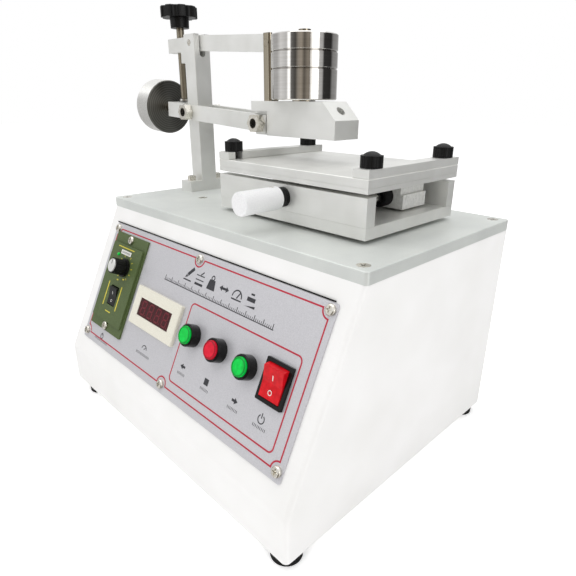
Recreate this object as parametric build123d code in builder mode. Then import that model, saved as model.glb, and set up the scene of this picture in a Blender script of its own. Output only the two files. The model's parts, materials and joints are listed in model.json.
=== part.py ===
"""Electric pencil-hardness (film scratch) tester, in millimetres.

+Z is up, +X is to the right as the operator stands, and +Y is to the back.
The origin is on the bench, below the centre of the box that holds the whole tester.
A sheet-metal cabinet carries a thick plate.  On the plate a motor-driven slide moves a sample table
under a weighted head, which hangs on a parallelogram linkage from a column at the left.
"""
from math import atan2, cos, pi, radians, sin, sqrt, tan
import os

from build123d import *

os.makedirs("parts", exist_ok=True)

# ---------------------------------------------------------------- driving dimensions
plate_l = 330.0            # top plate along X
plate_w = 200.0            # top plate along Y
plate_t = 9.0
plate_corner = 3.0
cabinet_h = 177.0          # from the feet to the underside of the plate
cabinet_nose = 67.0        # how far the foot of the sloping front stands before the plate
slope_rise = 140.0         # height of the sloping front
cabinet_inset = 0.6        # cabinet sides inside the plate's edges
wall = 1.5                 # sheet metal
fold_r = 5.0               # outer radius of the fold below the slope
corner_r = 4.0             # outer radius of the front corners
flange_w = 18.0            # folded flange below the plate
foot_r = 12.0
foot_h = 8.0
foot_inset = 13.0
foot_inset_left = 29.5
arm_overhang = 76.0        # how far the counterweight rod reaches past the plate's left edge

# control panel, measured along the slope from the fold
panel_l = 296.0
panel_h = 121.5
panel_t = 1.2
panel_shift = 3.0          # panel centre to the right of the plate's centre
panel_foot = 18.0          # lower edge above the fold
panel_screw_x = 143.0      # corner screws either side of the panel centre
panel_screw_low = 7.0      # lower screws above the panel's lower edge
panel_screw_high = 116.3
control_row = 75.0         # height of the buttons, meter and switch above the fold
controller_x = -106.6      # from the plate's centre
controller_s = 83.8
controller_l = 60.0
controller_h = 96.0
controller_depth = 65.0
meter_x = -32.9
meter_l = 72.0
meter_h = 35.5
meter_depth = 60.0
button_first_x = 25.0
button_pitch = 34.0
button_r = 9.2             # bezel
button_stand = 8.3         # bezel above the panel
button_travel = 1.6
switch_x = 122.0
switch_l = 25.2
switch_h = 30.5

# slide on the plate
slide_l = 167.0
slide_w = 120.0
slide_base_t = 9.0
slide_wall_t = 10.0
slide_wall_h = 21.0
slide_gap = 3.0            # under the slide
slide_front = 44.6         # behind the plate's front edge
slide_right = 36.7         # from the plate's right edge
slide_stroke = 30.0        # each way
table_w = 122.0            # along Y
table_t = 10.1
table_gap = 2.6            # above the slide's walls
table_seam = 3.8           # height of the seam between the table's two layers
clamp_l = 14.0             # clamp bar along X
clamp_t = 6.3
thumb_front = 11.4         # front thumb screws behind the table's front edge
thumb_pitch = 96.0
thumb_r = 8.0
thumb_h = 8.6
thumb_dome = 2.7
shank_r = 2.5
rod_r = 4.0                # table guide rods and table screw
rod_drop = 12.6            # rod axis below the table
bearing_l = 34.0
bearing_w = 33.0
bearing_h = 21.8
seam_edge = 0.5             # chamfer along the seam between table and clamp bars
bearing_back = 80.9        # bearing block centre behind the slide's front
knob_r = 9.25              # hand knob of the table screw
knob_l = 43.2
knob_gap = 2.5

# drive below the plate
drive_r = 5.0              # drive screw and its two guide rods
drive_drop = 27.0          # axis below the plate
drive_rod_pitch = 64.0
support_l = 18.0
support_w = 90.0
support_h = 47.0
support_left_gap = 88.8    # between the left support and the block at the end of its stroke
support_right_gap = 6.2
block_l = 30.0
post_l = 26.0
post_w = 30.0
motor_l = 47.0
motor_w = 50.0

# column and linkage
column_w = 19.0
column_x = 22.9            # column centre from the plate's left edge
column_y = 98.5            # mechanism's centre plane behind the plate's front edge
column_foot_w = 49.0
column_foot_h = 11.0
column_top = 157.0         # above the plate
slot_w = 7.0
slot_floor = 135.8
pivot_low = 82.4           # lower pivot above the plate
pivot_rise = 66.7          # upper pivot above the lower one
arm_tilt = 3.6             # degrees, down towards the head
arm_reach = 114.4          # between the pivots of an arm
arm_h = 15.0
arm_t = 5.0
upper_arm_h = 14.4
arm_tail = 40.5            # lower arms behind the column's pivot
arm_nose = 8.5             # lower arms past the head's pivot
arm_gap = 0.5              # between the column and a lower arm
cheek_gap = 0.3            # between the head's tongue and a lower arm
bolt_r = 4.0
nut_across = 14.6          # pivot nuts, across flats
nut_h = 7.7
nut_recess = 5.0           # from a nut's face to the end of its bolt
pin_r = 3.0
head_l = 102.0
head_h = 29.2
head_back = 11.0           # head behind its pivot
head_rise = 19.0           # head's top above its pivot
head_chamfer = 14.2
pencil_r = 4.1
link_post_w = 12.0
link_post_t = 10.0
weight_r = 28.0
weight_x = 41.8            # weight centre in front of the head's pivot
weight_heights = (24.0, 12.9, 12.9)
weight_seat = 1.1
weight_gap = 0.2
stud_r = 5.0
disc_r = 29.0              # counterweight
disc_t = 24.5
disc_face = 62.0           # counterweight's face behind the column's pivot
disc_rod_r = 5.0
disc_nut_t = 6.0
bracket_drop = 2.4         # lift bracket below the column's top
bracket_h = 13.6
bracket_l = 31.5
bracket_w = 17.0
bracket_leg_t = 8.0
bracket_leg_h = 24.2
lift_x = 29.05             # lift screw behind the column's centre
lift_r = 4.0
star_r = 18.9
star_h = 10.6

# clearances
running = 0.06             # radial, shaft in its bearing
loose = 0.1                # radial, fixed pin in its hole
apart = 0.3                # between moving faces
screw_play = 0.15

# ---------------------------------------------------------------- derived places
plate_x = arm_overhang / 2
front_y = -(plate_w + cabinet_nose) / 2
plate_front = front_y + cabinet_nose
plate_back = plate_front + plate_w
plate_y = (plate_front + plate_back) / 2
plate_left = plate_x - plate_l / 2
plate_right = plate_x + plate_l / 2
cabinet_top = foot_h + cabinet_h
plate_top = cabinet_top + plate_t
cabinet_l = plate_l - 2 * cabinet_inset
cabinet_back = plate_back - cabinet_inset
fold_z = cabinet_top - slope_rise
slope = atan2(cabinet_nose, slope_rise)
slope_plane = Plane(
    origin=(plate_x, front_y, fold_z), x_dir=(1, 0, 0), z_dir=(0, -cos(slope), sin(slope))
)
panel_s = panel_foot + panel_h / 2

slide_x = plate_right - slide_right - slide_l / 2
slide_y = plate_front + slide_front + slide_w / 2
slide_front_y = slide_y - slide_w / 2
slide_z = plate_top + slide_gap
slide_floor_z = slide_z + slide_base_t
slide_top_z = slide_floor_z + slide_wall_h
table_z = slide_top_z + table_gap
table_top = table_z + table_t
table_y = slide_front_y + table_w / 2
table_rod_z = table_z - rod_drop
clamp_z = table_top + clamp_t
clamp_xs = (slide_x - slide_l / 2 + clamp_l / 2, slide_x + slide_l / 2 - clamp_l / 2)
thumb_ys = (slide_front_y + thumb_front, slide_front_y + thumb_front + thumb_pitch)
bearing_y = slide_front_y + bearing_back
bearing_xs = (slide_x - 53.2, slide_x + 53.2)

drive_y = slide_y
drive_z = cabinet_top - drive_drop
block_reach = block_l / 2 + slide_stroke + support_l / 2
support_xs = (
    slide_x - block_reach - support_left_gap,
    slide_x + block_reach + support_right_gap,
)

mid_y = plate_front + column_y
column_cx = plate_left + column_x
low_z = plate_top + pivot_low
high_z = low_z + pivot_rise
tilt = radians(arm_tilt)
head_px = column_cx + arm_reach * cos(tilt)
head_pz = low_z - arm_reach * sin(tilt)
head_left = head_px - head_back
head_right = head_left + head_l
head_top = head_pz + head_rise
head_bottom = head_top - head_h
arm_in = column_w / 2 + arm_gap
head_w = 2 * (arm_in + arm_t)
stud_x = head_px + weight_x
arm_plane = Plane(origin=(column_cx, mid_y, low_z), x_dir=(cos(tilt), 0, -sin(tilt)), z_dir=(0, -1, 0))
upper_plane = Plane(origin=(column_cx, mid_y, high_z), x_dir=(cos(tilt), 0, -sin(tilt)), z_dir=(0, -1, 0))
tail_dir = Vector(-cos(tilt), 0, sin(tilt))


def slope_point(u, s, out):
    """A point on the slope: u from the plate's centre, s above the fold, out from the sheet."""
    return slope_plane.from_local_coords(Vector(u, s, out))


def out_of_slope(shape):
    """How far out from the sloping sheet the middle of a shape lies."""
    return slope_plane.to_local_coords(shape.center()).Z


def across(y, x, z):
    """A plane that faces +Y, with its local X along +X and its origin at (x, y, z)."""
    return Plane(origin=(x, y, z), x_dir=(-1, 0, 0), z_dir=(0, 1, 0))


def tail_plane(distance):
    """A plane across the counterweight rod, this far behind the column's pivot."""
    place = Vector(column_cx, mid_y, low_z) + tail_dir * distance
    return Plane(origin=place, x_dir=(0, 1, 0), z_dir=tail_dir)


def save(builder, name):
    """Label one sub-part and write its STEP file."""
    builder.part.label = name
    export_step(builder.part, "parts/" + name + ".step")


# ---------------------------------------------------------------- cabinet
with BuildPart() as cabinet_shell:
    with BuildSketch(Plane.YZ.offset(plate_x - cabinet_l / 2)):
        with BuildLine():
            Polyline(
                (cabinet_back, foot_h),
                (front_y, foot_h),
                (front_y, fold_z),
                (plate_front, cabinet_top),
                (cabinet_back, cabinet_top),
                close=True,
            )
        make_face()
    extrude(amount=cabinet_l)
    fold = edges().filter_by(Axis.X).sort_by(Axis.Y)[0:2].sort_by(Axis.Z)[-1]
    fillet(fold, fold_r)
    front_sides = edges().filter_by_position(Axis.Y, front_y - 1, plate_front + 1)
    front_sides = front_sides.filter_by(lambda e: abs(e.center().X - plate_x) > cabinet_l / 2 - 0.1)
    front_sides = front_sides.filter_by(lambda e: abs(e.tangent_at(0.5).Y) < 0.9)
    fillet(front_sides, corner_r)
    bottom = faces().sort_by(Axis.Z)[0]
    offset(amount=-wall, openings=bottom)
    with BuildSketch(Plane.XY.offset(cabinet_top)):
        with Locations((plate_x, (plate_front + cabinet_back) / 2)):
            Rectangle(cabinet_l - 2 * flange_w, plate_w - 2 * flange_w)
    extrude(amount=-2 * wall, mode=Mode.SUBTRACT)
    with BuildSketch(slope_plane):
        with Locations((0, controller_s)):
            Rectangle(268, controller_h - 3)
        with Locations((panel_shift, panel_foot + (panel_screw_low + panel_screw_high) / 2)):
            with GridLocations(panel_screw_x, panel_screw_high - panel_screw_low, 3, 2):
                Circle(2.2)
    extrude(amount=-2 * wall, mode=Mode.SUBTRACT)
    with BuildSketch(Plane.XY.offset(cabinet_top)):
        with Locations((plate_x, plate_y)):
            with GridLocations(plate_l - 2 * 10.6, plate_w - 2 * 9.5, 2, 2):
                Circle(2.2 + screw_play)
    extrude(amount=-2 * wall, mode=Mode.SUBTRACT)
    with BuildSketch(across(cabinet_back, plate_right - 60, foot_h + 45)):
        RectangleRounded(27.4, 19.8, 2)
    extrude(amount=-2 * wall, mode=Mode.SUBTRACT)
save(cabinet_shell, "cabinet_shell")

cover_l = cabinet_l - 2 * wall - 2 * apart
cover_w = cabinet_back - front_y - 2 * wall - 2 * apart
with BuildPart() as bottom_cover:
    with BuildSketch(Plane.XY.offset(foot_h)):
        with Locations((plate_x, (front_y + cabinet_back) / 2)):
            RectangleRounded(cover_l, cover_w, corner_r)
    extrude(amount=wall)
save(bottom_cover, "bottom_cover")

foot_xs = (plate_x - cabinet_l / 2 + foot_inset_left, plate_x + cabinet_l / 2 - foot_inset)
foot_ys = (front_y + foot_inset, cabinet_back - foot_inset)
foot_places = [(x, y) for x in foot_xs for y in foot_ys]
with BuildPart() as rubber_feet:
    with BuildSketch(Plane.XY.offset(foot_h)):
        with Locations(*foot_places):
            Circle(foot_r)
    extrude(amount=-foot_h, taper=4)
    with BuildSketch():
        with Locations(*foot_places):
            Circle(foot_r / 2.5)
    extrude(amount=foot_h / 2, mode=Mode.SUBTRACT)
save(rubber_feet, "rubber_feet")

# ---------------------------------------------------------------- top plate and its screws
csk_r = 4.7
csk_shank = 2.2
drive_window_l = post_l + 2 * slide_stroke + 4
corner_screws = [(plate_x + i * (plate_l / 2 - 10.6), plate_y + j * (plate_w / 2 - 9.5)) for i in (-1, 1) for j in (-1, 1)]
support_screws = [(x, drive_y + j * 40.0) for x in support_xs for j in (-1, 1)]
screw_places = corner_screws + support_screws
with BuildPart() as top_plate:
    with BuildSketch(Plane.XY.offset(cabinet_top)):
        with Locations((plate_x, plate_y)):
            RectangleRounded(plate_l, plate_w, plate_corner)
        with Locations((slide_x, drive_y)):
            Rectangle(drive_window_l, post_w + 4, mode=Mode.SUBTRACT)
    extrude(amount=plate_t)
    chamfer(faces().sort_by(Axis.Z)[-1].outer_wire().edges(), 0.5)
    with BuildSketch(Plane.XY.offset(plate_top)):
        with Locations(*screw_places):
            Circle(csk_shank + screw_play)
    extrude(amount=-plate_t, mode=Mode.SUBTRACT)
    with Locations(*[(x, y, plate_top - (csk_r - csk_shank) / 2 + 0.001) for x, y in screw_places]):
        Cone(
            csk_shank + screw_play, csk_r + screw_play, csk_r - csk_shank, mode=Mode.SUBTRACT
        )
    with BuildSketch(Plane.XY.offset(plate_top)):
        with Locations((column_cx, mid_y)):
            with GridLocations(0, column_foot_w - 15, 1, 2):
                Circle(2.5 + screw_play)
    extrude(amount=-plate_t, mode=Mode.SUBTRACT)
save(top_plate, "top_plate")

with BuildPart() as top_plate_screws:
    with BuildSketch(Plane.XY.offset(plate_top - 0.1 - plate_t)):
        with Locations(*screw_places):
            Circle(csk_shank)
    extrude(amount=plate_t - 1)
    with Locations(*[(x, y, plate_top - 0.1 - (csk_r - csk_shank) / 2) for x, y in screw_places]):
        Cone(csk_shank, csk_r, csk_r - csk_shank)
    with BuildSketch(Plane.XY.offset(plate_top - 0.1)):
        with Locations(*screw_places):
            Rectangle(4.6, 0.9)
            Rectangle(0.9, 4.6)
    extrude(amount=-1.4, mode=Mode.SUBTRACT)
save(top_plate_screws, "top_plate_screws")

# ---------------------------------------------------------------- control panel
pan_r = 4.0
pan_h = 2.4
cross_l = 4.4
cross_w = 1.0
cross_depth = 1.3
body_l = controller_l - 8
body_h = controller_h - 8
switch_body_l = 21.6
switch_body_h = 27.2
barrel_r = 8.0
button_us = [button_first_x + i * button_pitch for i in range(3)]
panel_mid_s = panel_foot + (panel_screw_low + panel_screw_high) / 2

with BuildPart() as control_panel:
    with BuildSketch(slope_plane):
        with Locations((panel_shift, panel_s)):
            RectangleRounded(panel_l, panel_h, 2)
        with Locations((controller_x, controller_s)):
            Rectangle(body_l + 1, body_h + 1, mode=Mode.SUBTRACT)
        with Locations((meter_x, control_row)):
            Rectangle(meter_l - 3, meter_h - 2.5, mode=Mode.SUBTRACT)
        with Locations(*[(u, control_row) for u in button_us]):
            Circle(barrel_r + loose, mode=Mode.SUBTRACT)
        with Locations((switch_x, control_row)):
            Rectangle(switch_body_l + 0.4, switch_body_h + 0.4, mode=Mode.SUBTRACT)
        with Locations((panel_shift, panel_mid_s)):
            with GridLocations(panel_screw_x, panel_screw_high - panel_screw_low, 3, 2):
                Circle(1.6 + screw_play, mode=Mode.SUBTRACT)
        with Locations((controller_x, controller_s)):
            with GridLocations(0, controller_h - 9, 1, 2):
                Circle(1.6 + screw_play, mode=Mode.SUBTRACT)
    extrude(amount=panel_t)
save(control_panel, "control_panel")

controller_flange_t = 1.6
with BuildPart() as panel_screws:
    with BuildSketch(slope_plane.offset(-4)):
        with Locations((panel_shift, panel_mid_s)):
            with GridLocations(panel_screw_x, panel_screw_high - panel_screw_low, 3, 2):
                Circle(1.6)
    extrude(amount=4 + panel_t)
    with BuildSketch(slope_plane.offset(panel_t)):
        with Locations((panel_shift, panel_mid_s)):
            with GridLocations(panel_screw_x, panel_screw_high - panel_screw_low, 3, 2):
                Circle(pan_r)
    extrude(amount=pan_h)
    with BuildSketch(slope_plane.offset(-4)):
        with Locations((controller_x, controller_s)):
            with GridLocations(0, controller_h - 9, 1, 2):
                Circle(1.6)
    extrude(amount=4 + panel_t + controller_flange_t)
    with BuildSketch(slope_plane.offset(panel_t + controller_flange_t)):
        with Locations((controller_x, controller_s)):
            with GridLocations(0, controller_h - 9, 1, 2):
                Circle(pan_r)
    extrude(amount=pan_h)
    heads = edges().filter_by(GeomType.CIRCLE).filter_by(lambda e: abs(e.radius - pan_r) < 0.01)
    rims = heads.filter_by(lambda e: out_of_slope(e) > panel_t + 2)
    fillet(rims, 1.4)
    with BuildSketch(slope_plane.offset(panel_t + pan_h)):
        with Locations((panel_shift, panel_mid_s)):
            with GridLocations(panel_screw_x, panel_screw_high - panel_screw_low, 3, 2):
                Rectangle(cross_l, cross_w)
                Rectangle(cross_w, cross_l)
    extrude(amount=-cross_depth, mode=Mode.SUBTRACT)
    with BuildSketch(slope_plane.offset(panel_t + controller_flange_t + pan_h)):
        with Locations((controller_x, controller_s)):
            with GridLocations(0, controller_h - 9, 1, 2):
                Rectangle(cross_l, cross_w)
                Rectangle(cross_w, cross_l)
    extrude(amount=-cross_depth, mode=Mode.SUBTRACT)
save(panel_screws, "panel_screws")

# speed controller: flange, raised cover and body behind the panel
cover_s = controller_s - 0.8
cover_t = 2.0
cover_out = panel_t + controller_flange_t + cover_t
run_switch_s = 70.6
run_l = 17.0
run_h = 21.6
speed_knob_s = 100.4
speed_knob_x = controller_x + 5.8
with BuildPart() as controller_housing:
    with BuildSketch(slope_plane.offset(panel_t)):
        with Locations((controller_x, controller_s)):
            RectangleRounded(controller_l, controller_h, 1)
            with GridLocations(0, controller_h - 9, 1, 2):
                Circle(1.6 + screw_play, mode=Mode.SUBTRACT)
    extrude(amount=controller_flange_t)
    with BuildSketch(slope_plane.offset(panel_t)):
        with Locations((controller_x, cover_s)):
            RectangleRounded(controller_l - 4, controller_h - 19, 1)
    extrude(amount=controller_flange_t + cover_t)
    with BuildSketch(slope_plane.offset(panel_t)):
        with Locations((controller_x, controller_s)):
            Rectangle(body_l, body_h)
            with GridLocations(0, controller_h - 9, 1, 2):
                Circle(2, mode=Mode.SUBTRACT)
    extrude(amount=-controller_depth)
    with BuildSketch(slope_plane.offset(cover_out)):
        with Locations((controller_x, run_switch_s)):
            Rectangle(run_l - 2, run_h - 2)
    extrude(amount=-14, mode=Mode.SUBTRACT)
    with BuildSketch(slope_plane.offset(cover_out)):
        with Locations((speed_knob_x, speed_knob_s)):
            Circle(3 + running)
    extrude(amount=-8, mode=Mode.SUBTRACT)
save(controller_housing, "controller_housing")

knob_base = cover_out + apart
with BuildPart() as speed_knob:
    with BuildSketch(slope_plane.offset(cover_out - 6)):
        with Locations((speed_knob_x, speed_knob_s)):
            Circle(3)
    extrude(amount=6 + apart)
    with BuildSketch(slope_plane.offset(knob_base)):
        with Locations((speed_knob_x, speed_knob_s)):
            Circle(9)
    extrude(amount=2)
    with BuildSketch(slope_plane.offset(knob_base + 2)):
        with Locations((speed_knob_x, speed_knob_s)):
            Circle(7.6)
            with PolarLocations(7.9, 18):
                Circle(0.7, mode=Mode.SUBTRACT)
    extrude(amount=11)
    with BuildSketch(slope_plane.offset(knob_base + 13)):
        with Locations((speed_knob_x, speed_knob_s)):
            Circle(6.4)
    extrude(amount=0.6)
save(speed_knob, "speed_knob")


def rocker_profile(reach, end_h, centre_h, floor_h, lean):
    """Side outline of a rocker about its pivot, leaned by an angle: arcs at the ends, a shallow V on top."""
    top = atan2(end_h, sqrt(reach**2 - end_h**2))
    low = atan2(floor_h, sqrt(reach**2 - floor_h**2))
    turn = radians(lean)

    def spot(radius, angle):
        return (radius * cos(angle + turn), radius * sin(angle + turn))

    Line(spot(reach, low), spot(reach, pi - low))
    ThreePointArc(spot(reach, pi - low), spot(reach, pi - (low + top) / 2), spot(reach, pi - top))
    Line(spot(reach, pi - top), spot(centre_h, pi / 2))
    Line(spot(centre_h, pi / 2), spot(reach, top))
    ThreePointArc(spot(reach, top), spot(reach, (low + top) / 2), spot(reach, low))


def rocker_plane(u, s, out, width):
    """A plane across a rocker's pivot, its local X up the slope and its local Y out of the panel."""
    place = slope_point(u + width / 2, s, out)
    return Plane(origin=place, x_dir=slope_plane.y_dir, z_dir=(1, 0, 0))


run_pivot_out = cover_out - 2.6
with BuildPart() as run_rocker:
    with BuildSketch(rocker_plane(controller_x, run_switch_s, run_pivot_out, run_l - 3)):
        with BuildLine():
            rocker_profile(run_h / 2 - 1.5, 3.8, 3.0, -2.0, 8)
        make_face()
    extrude(amount=-(run_l - 3))
save(run_rocker, "run_rocker")

# meter, its window and its body
meter_front = panel_t + 3.0
window_l = 51.6
window_h = 16.4
with BuildPart() as meter_housing:
    with BuildSketch(slope_plane.offset(panel_t)):
        with Locations((meter_x, control_row)):
            RectangleRounded(meter_l, meter_h, 1)
    extrude(amount=meter_front - panel_t)
    front_edges = edges().filter_by(lambda e: out_of_slope(e) > meter_front - 0.1)
    chamfer(front_edges, 0.6)
    with BuildSketch(slope_plane.offset(panel_t)):
        with Locations((meter_x, control_row)):
            Rectangle(meter_l - 4, meter_h - 3.5)
    extrude(amount=-meter_depth)
    with BuildSketch(slope_plane.offset(meter_front)):
        with Locations((meter_x, control_row)):
            Rectangle(window_l, window_h)
    extrude(amount=-3.0, mode=Mode.SUBTRACT)
save(meter_housing, "meter_housing")

with BuildPart() as meter_window:
    with BuildSketch(slope_plane.offset(meter_front - 3.0)):
        with Locations((meter_x, control_row)):
            Rectangle(window_l - 0.2, window_h - 0.2)
    extrude(amount=2.5)
save(meter_window, "meter_window")

# push buttons
with BuildPart() as button_bezels:
    with BuildSketch(slope_plane.offset(panel_t)):
        with Locations(*[(u, control_row) for u in button_us]):
            Circle(button_r)
    extrude(amount=button_stand)
    chamfer(edges().filter_by(lambda e: out_of_slope(e) > panel_t + 2), 0.8)
    with BuildSketch(slope_plane.offset(panel_t)):
        with Locations(*[(u, control_row) for u in button_us]):
            Circle(barrel_r)
    extrude(amount=-24)
    with BuildSketch(slope_plane):
        with Locations(*[(u, control_row) for u in button_us]):
            RegularPolygon(barrel_r + 3, 6)
    extrude(amount=-3)
    with BuildSketch(slope_plane.offset(panel_t + button_stand)):
        with Locations(*[(u, control_row) for u in button_us]):
            Circle(barrel_r - 0.5)
    extrude(amount=-button_stand - 10, mode=Mode.SUBTRACT)
save(button_bezels, "button_bezels")

cap_r = barrel_r - 0.5 - apart
cap_top = panel_t + button_stand + button_travel


def button_cap(u):
    """One push-button cap in its bezel."""
    with BuildPart() as cap:
        with BuildSketch(slope_plane.offset(panel_t)):
            with Locations((u, control_row)):
                Circle(cap_r)
        extrude(amount=cap_top - panel_t)
        fillet(edges().filter_by(lambda e: out_of_slope(e) > cap_top - 0.1), 0.7)
    return cap


left_button = button_cap(button_us[0])
save(left_button, "left_button")
stop_button = button_cap(button_us[1])
save(stop_button, "stop_button")
right_button = button_cap(button_us[2])
save(right_button, "right_button")

# mains switch
switch_flange_t = 2.2
switch_open_l = 19.6
switch_open_h = 25.2
with BuildPart() as power_switch_frame:
    with BuildSketch(slope_plane.offset(panel_t)):
        with Locations((switch_x, control_row)):
            RectangleRounded(switch_l, switch_h, 1)
    extrude(amount=switch_flange_t)
    with BuildSketch(slope_plane.offset(panel_t)):
        with Locations((switch_x, control_row)):
            Rectangle(switch_body_l, switch_body_h)
    extrude(amount=-20)
    with BuildSketch(slope_plane.offset(panel_t + switch_flange_t)):
        with Locations((switch_x, control_row)):
            Rectangle(switch_open_l, switch_open_h)
    extrude(amount=-17, mode=Mode.SUBTRACT)
save(power_switch_frame, "power_switch_frame")

switch_pivot_out = 0.6
with BuildPart() as power_rocker:
    with BuildSketch(rocker_plane(switch_x, control_row, switch_pivot_out, switch_open_l - 2 * apart)):
        with BuildLine():
            rocker_profile(switch_open_h / 2 - apart, 5.4, 4.0, -3.0, 10)
        make_face()
    extrude(amount=-(switch_open_l - 2 * apart))
save(power_rocker, "power_rocker")

# mains inlet in the back wall, fitted from inside
inlet_x = plate_right - 60
inlet_z = foot_h + 45
with BuildPart() as mains_inlet:
    with BuildSketch(across(cabinet_back - wall, inlet_x, inlet_z)):
        RectangleRounded(48, 24, 3)
    extrude(amount=-2)
    with BuildSketch(across(cabinet_back - 0.2, inlet_x, inlet_z)):
        RectangleRounded(27, 19.4, 2)
    extrude(amount=-26)
    with BuildSketch(across(cabinet_back - 0.2, inlet_x, inlet_z)):
        with BuildLine():
            Polyline((-12, -8), (12, -8), (12, 3.5), (8, 7.5), (-8, 7.5), (-12, 3.5), close=True)
        make_face()
    extrude(amount=-18, mode=Mode.SUBTRACT)
    with BuildSketch(across(cabinet_back - 19, inlet_x, inlet_z)):
        with Locations((-7, -1), (7, -1), (0, 2.5)):
            Rectangle(2, 4)
    extrude(amount=14)
save(mains_inlet, "mains_inlet")

# ---------------------------------------------------------------- drive below the plate
support_bottom = cabinet_top - support_h
rod_ys = (drive_y - drive_rod_pitch / 2, drive_y + drive_rod_pitch / 2)
with BuildPart() as guide_supports:
    with BuildSketch(Plane.XY.offset(support_bottom)):
        with Locations(*[(x, drive_y) for x in support_xs]):
            Rectangle(support_l, support_w)
    extrude(amount=support_h)
    with BuildSketch(Plane.YZ.offset(plate_left)):
        with Locations(*[(y, drive_z) for y in rod_ys]):
            Circle(drive_r + loose)
        with Locations((drive_y, drive_z)):
            Circle(drive_r + running)
    extrude(amount=plate_l, mode=Mode.SUBTRACT)
    with BuildSketch(Plane.XY.offset(cabinet_top)):
        with Locations(*support_screws):
            Circle(csk_shank + screw_play)
    extrude(amount=-12, mode=Mode.SUBTRACT)
save(guide_supports, "guide_supports")

rods_from = support_xs[0] - support_l / 2
rods_to = support_xs[1] + support_l / 2
with BuildPart() as drive_guide_rods:
    with BuildSketch(Plane.YZ.offset(rods_from)):
        with Locations(*[(y, drive_z) for y in rod_ys]):
            Circle(drive_r)
    extrude(amount=rods_to - rods_from)
save(drive_guide_rods, "drive_guide_rods")

stub_r = 4.0
stub_l = 16.0
with BuildPart() as drive_motor:
    with BuildSketch(Plane.YZ.offset(rods_from - motor_l)):
        with Locations((drive_y, drive_z)):
            RectangleRounded(motor_w, motor_w, 6)
    extrude(amount=motor_l)
    with BuildSketch(Plane.YZ.offset(rods_from)):
        with Locations((drive_y, drive_z)):
            Circle(stub_r + running)
    extrude(amount=-stub_l - 2, mode=Mode.SUBTRACT)
save(drive_motor, "drive_motor")

with BuildPart() as drive_screw:
    with BuildSketch(Plane.YZ.offset(rods_from)):
        with Locations((drive_y, drive_z)):
            Circle(drive_r)
    extrude(amount=rods_to - rods_from)
    with BuildSketch(Plane.YZ.offset(rods_from)):
        with Locations((drive_y, drive_z)):
            Circle(stub_r)
    extrude(amount=-stub_l)
save(drive_screw, "drive_screw")

with BuildPart() as drive_block:
    with BuildSketch(Plane.XY.offset(drive_z - 12)):
        with Locations((slide_x, drive_y)):
            Rectangle(block_l, drive_rod_pitch + 24)
    extrude(amount=24)
    with BuildSketch(Plane.XY.offset(drive_z)):
        with Locations((slide_x, drive_y)):
            Rectangle(post_l, post_w)
    extrude(amount=slide_z - drive_z)
    with BuildSketch(Plane.YZ.offset(slide_x - block_l)):
        with Locations((rod_ys[0], drive_z), (drive_y, drive_z), (rod_ys[1], drive_z)):
            Circle(drive_r + running)
    extrude(amount=2 * block_l, mode=Mode.SUBTRACT)
save(drive_block, "drive_block")

# control board on its spacers, and the supply beside it
board_z = foot_h + wall + 8
board_x = plate_x - 70
with BuildPart() as electronics:
    with BuildSketch(Plane.XY.offset(board_z)):
        with Locations((board_x, 5)):
            Rectangle(120, 80)
    extrude(amount=1.6)
    with BuildSketch(Plane.XY.offset(foot_h + wall)):
        with Locations((board_x, 5)):
            with GridLocations(110, 70, 2, 2):
                Circle(3)
    extrude(amount=8)
    with BuildSketch(Plane.XY.offset(board_z + 1.6)):
        with Locations((board_x - 40, 0), (board_x - 18, 0), (board_x + 4, 0)):
            Rectangle(15, 19)
        with Locations((board_x, 38)):
            Rectangle(90, 10)
    extrude(amount=14)
    with BuildSketch(Plane.XY.offset(foot_h + wall)):
        with Locations((plate_x + 75, 10)):
            RectangleRounded(98, 110, 2)
    extrude(amount=38)
save(electronics, "electronics")

# ---------------------------------------------------------------- motor-driven slide
wall_ys = (slide_front_y + slide_wall_t / 2, slide_front_y + slide_w - slide_wall_t / 2)
rod_front_y = wall_ys[0] - 1
rod_l = wall_ys[1] + 1 - rod_front_y
with BuildPart() as slide_base:
    with BuildSketch(Plane.XY.offset(slide_z)):
        with Locations((slide_x, slide_y)):
            Rectangle(slide_l, slide_w)
    extrude(amount=slide_base_t)
    with BuildSketch(Plane.XY.offset(slide_floor_z)):
        with Locations(*[(slide_x, y) for y in wall_ys]):
            Rectangle(slide_l, slide_wall_t)
    extrude(amount=slide_wall_h)
    with BuildSketch(Plane.XZ.offset(-slide_front_y)):
        with Locations((slide_x, table_rod_z)):
            Circle(rod_r + running)
    extrude(amount=-(slide_w - 4), mode=Mode.SUBTRACT)
    with BuildSketch(Plane.XZ.offset(-rod_front_y)):
        with Locations(*[(x, table_rod_z) for x in bearing_xs]):
            Circle(rod_r + loose)
    extrude(amount=-rod_l, mode=Mode.SUBTRACT)
    with BuildSketch(Plane.XZ.offset(-slide_front_y)):
        with Locations((slide_x, table_rod_z)):
            Circle(8.0)
    extrude(amount=-6, mode=Mode.SUBTRACT)
    with BuildSketch(Plane.XY.offset(slide_floor_z - 0.2)):
        with Locations((slide_x, slide_y)):
            Rectangle(slide_l + 1, slide_w + 1)
            Rectangle(slide_l - 0.6, slide_w - 0.6, mode=Mode.SUBTRACT)
    extrude(amount=0.4, mode=Mode.SUBTRACT)
save(slide_base, "slide_base")

with BuildPart() as table_guide_rods:
    with BuildSketch(Plane.XZ.offset(-rod_front_y)):
        with Locations(*[(x, table_rod_z) for x in bearing_xs]):
            Circle(rod_r)
    extrude(amount=-rod_l)
save(table_guide_rods, "table_guide_rods")

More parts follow.
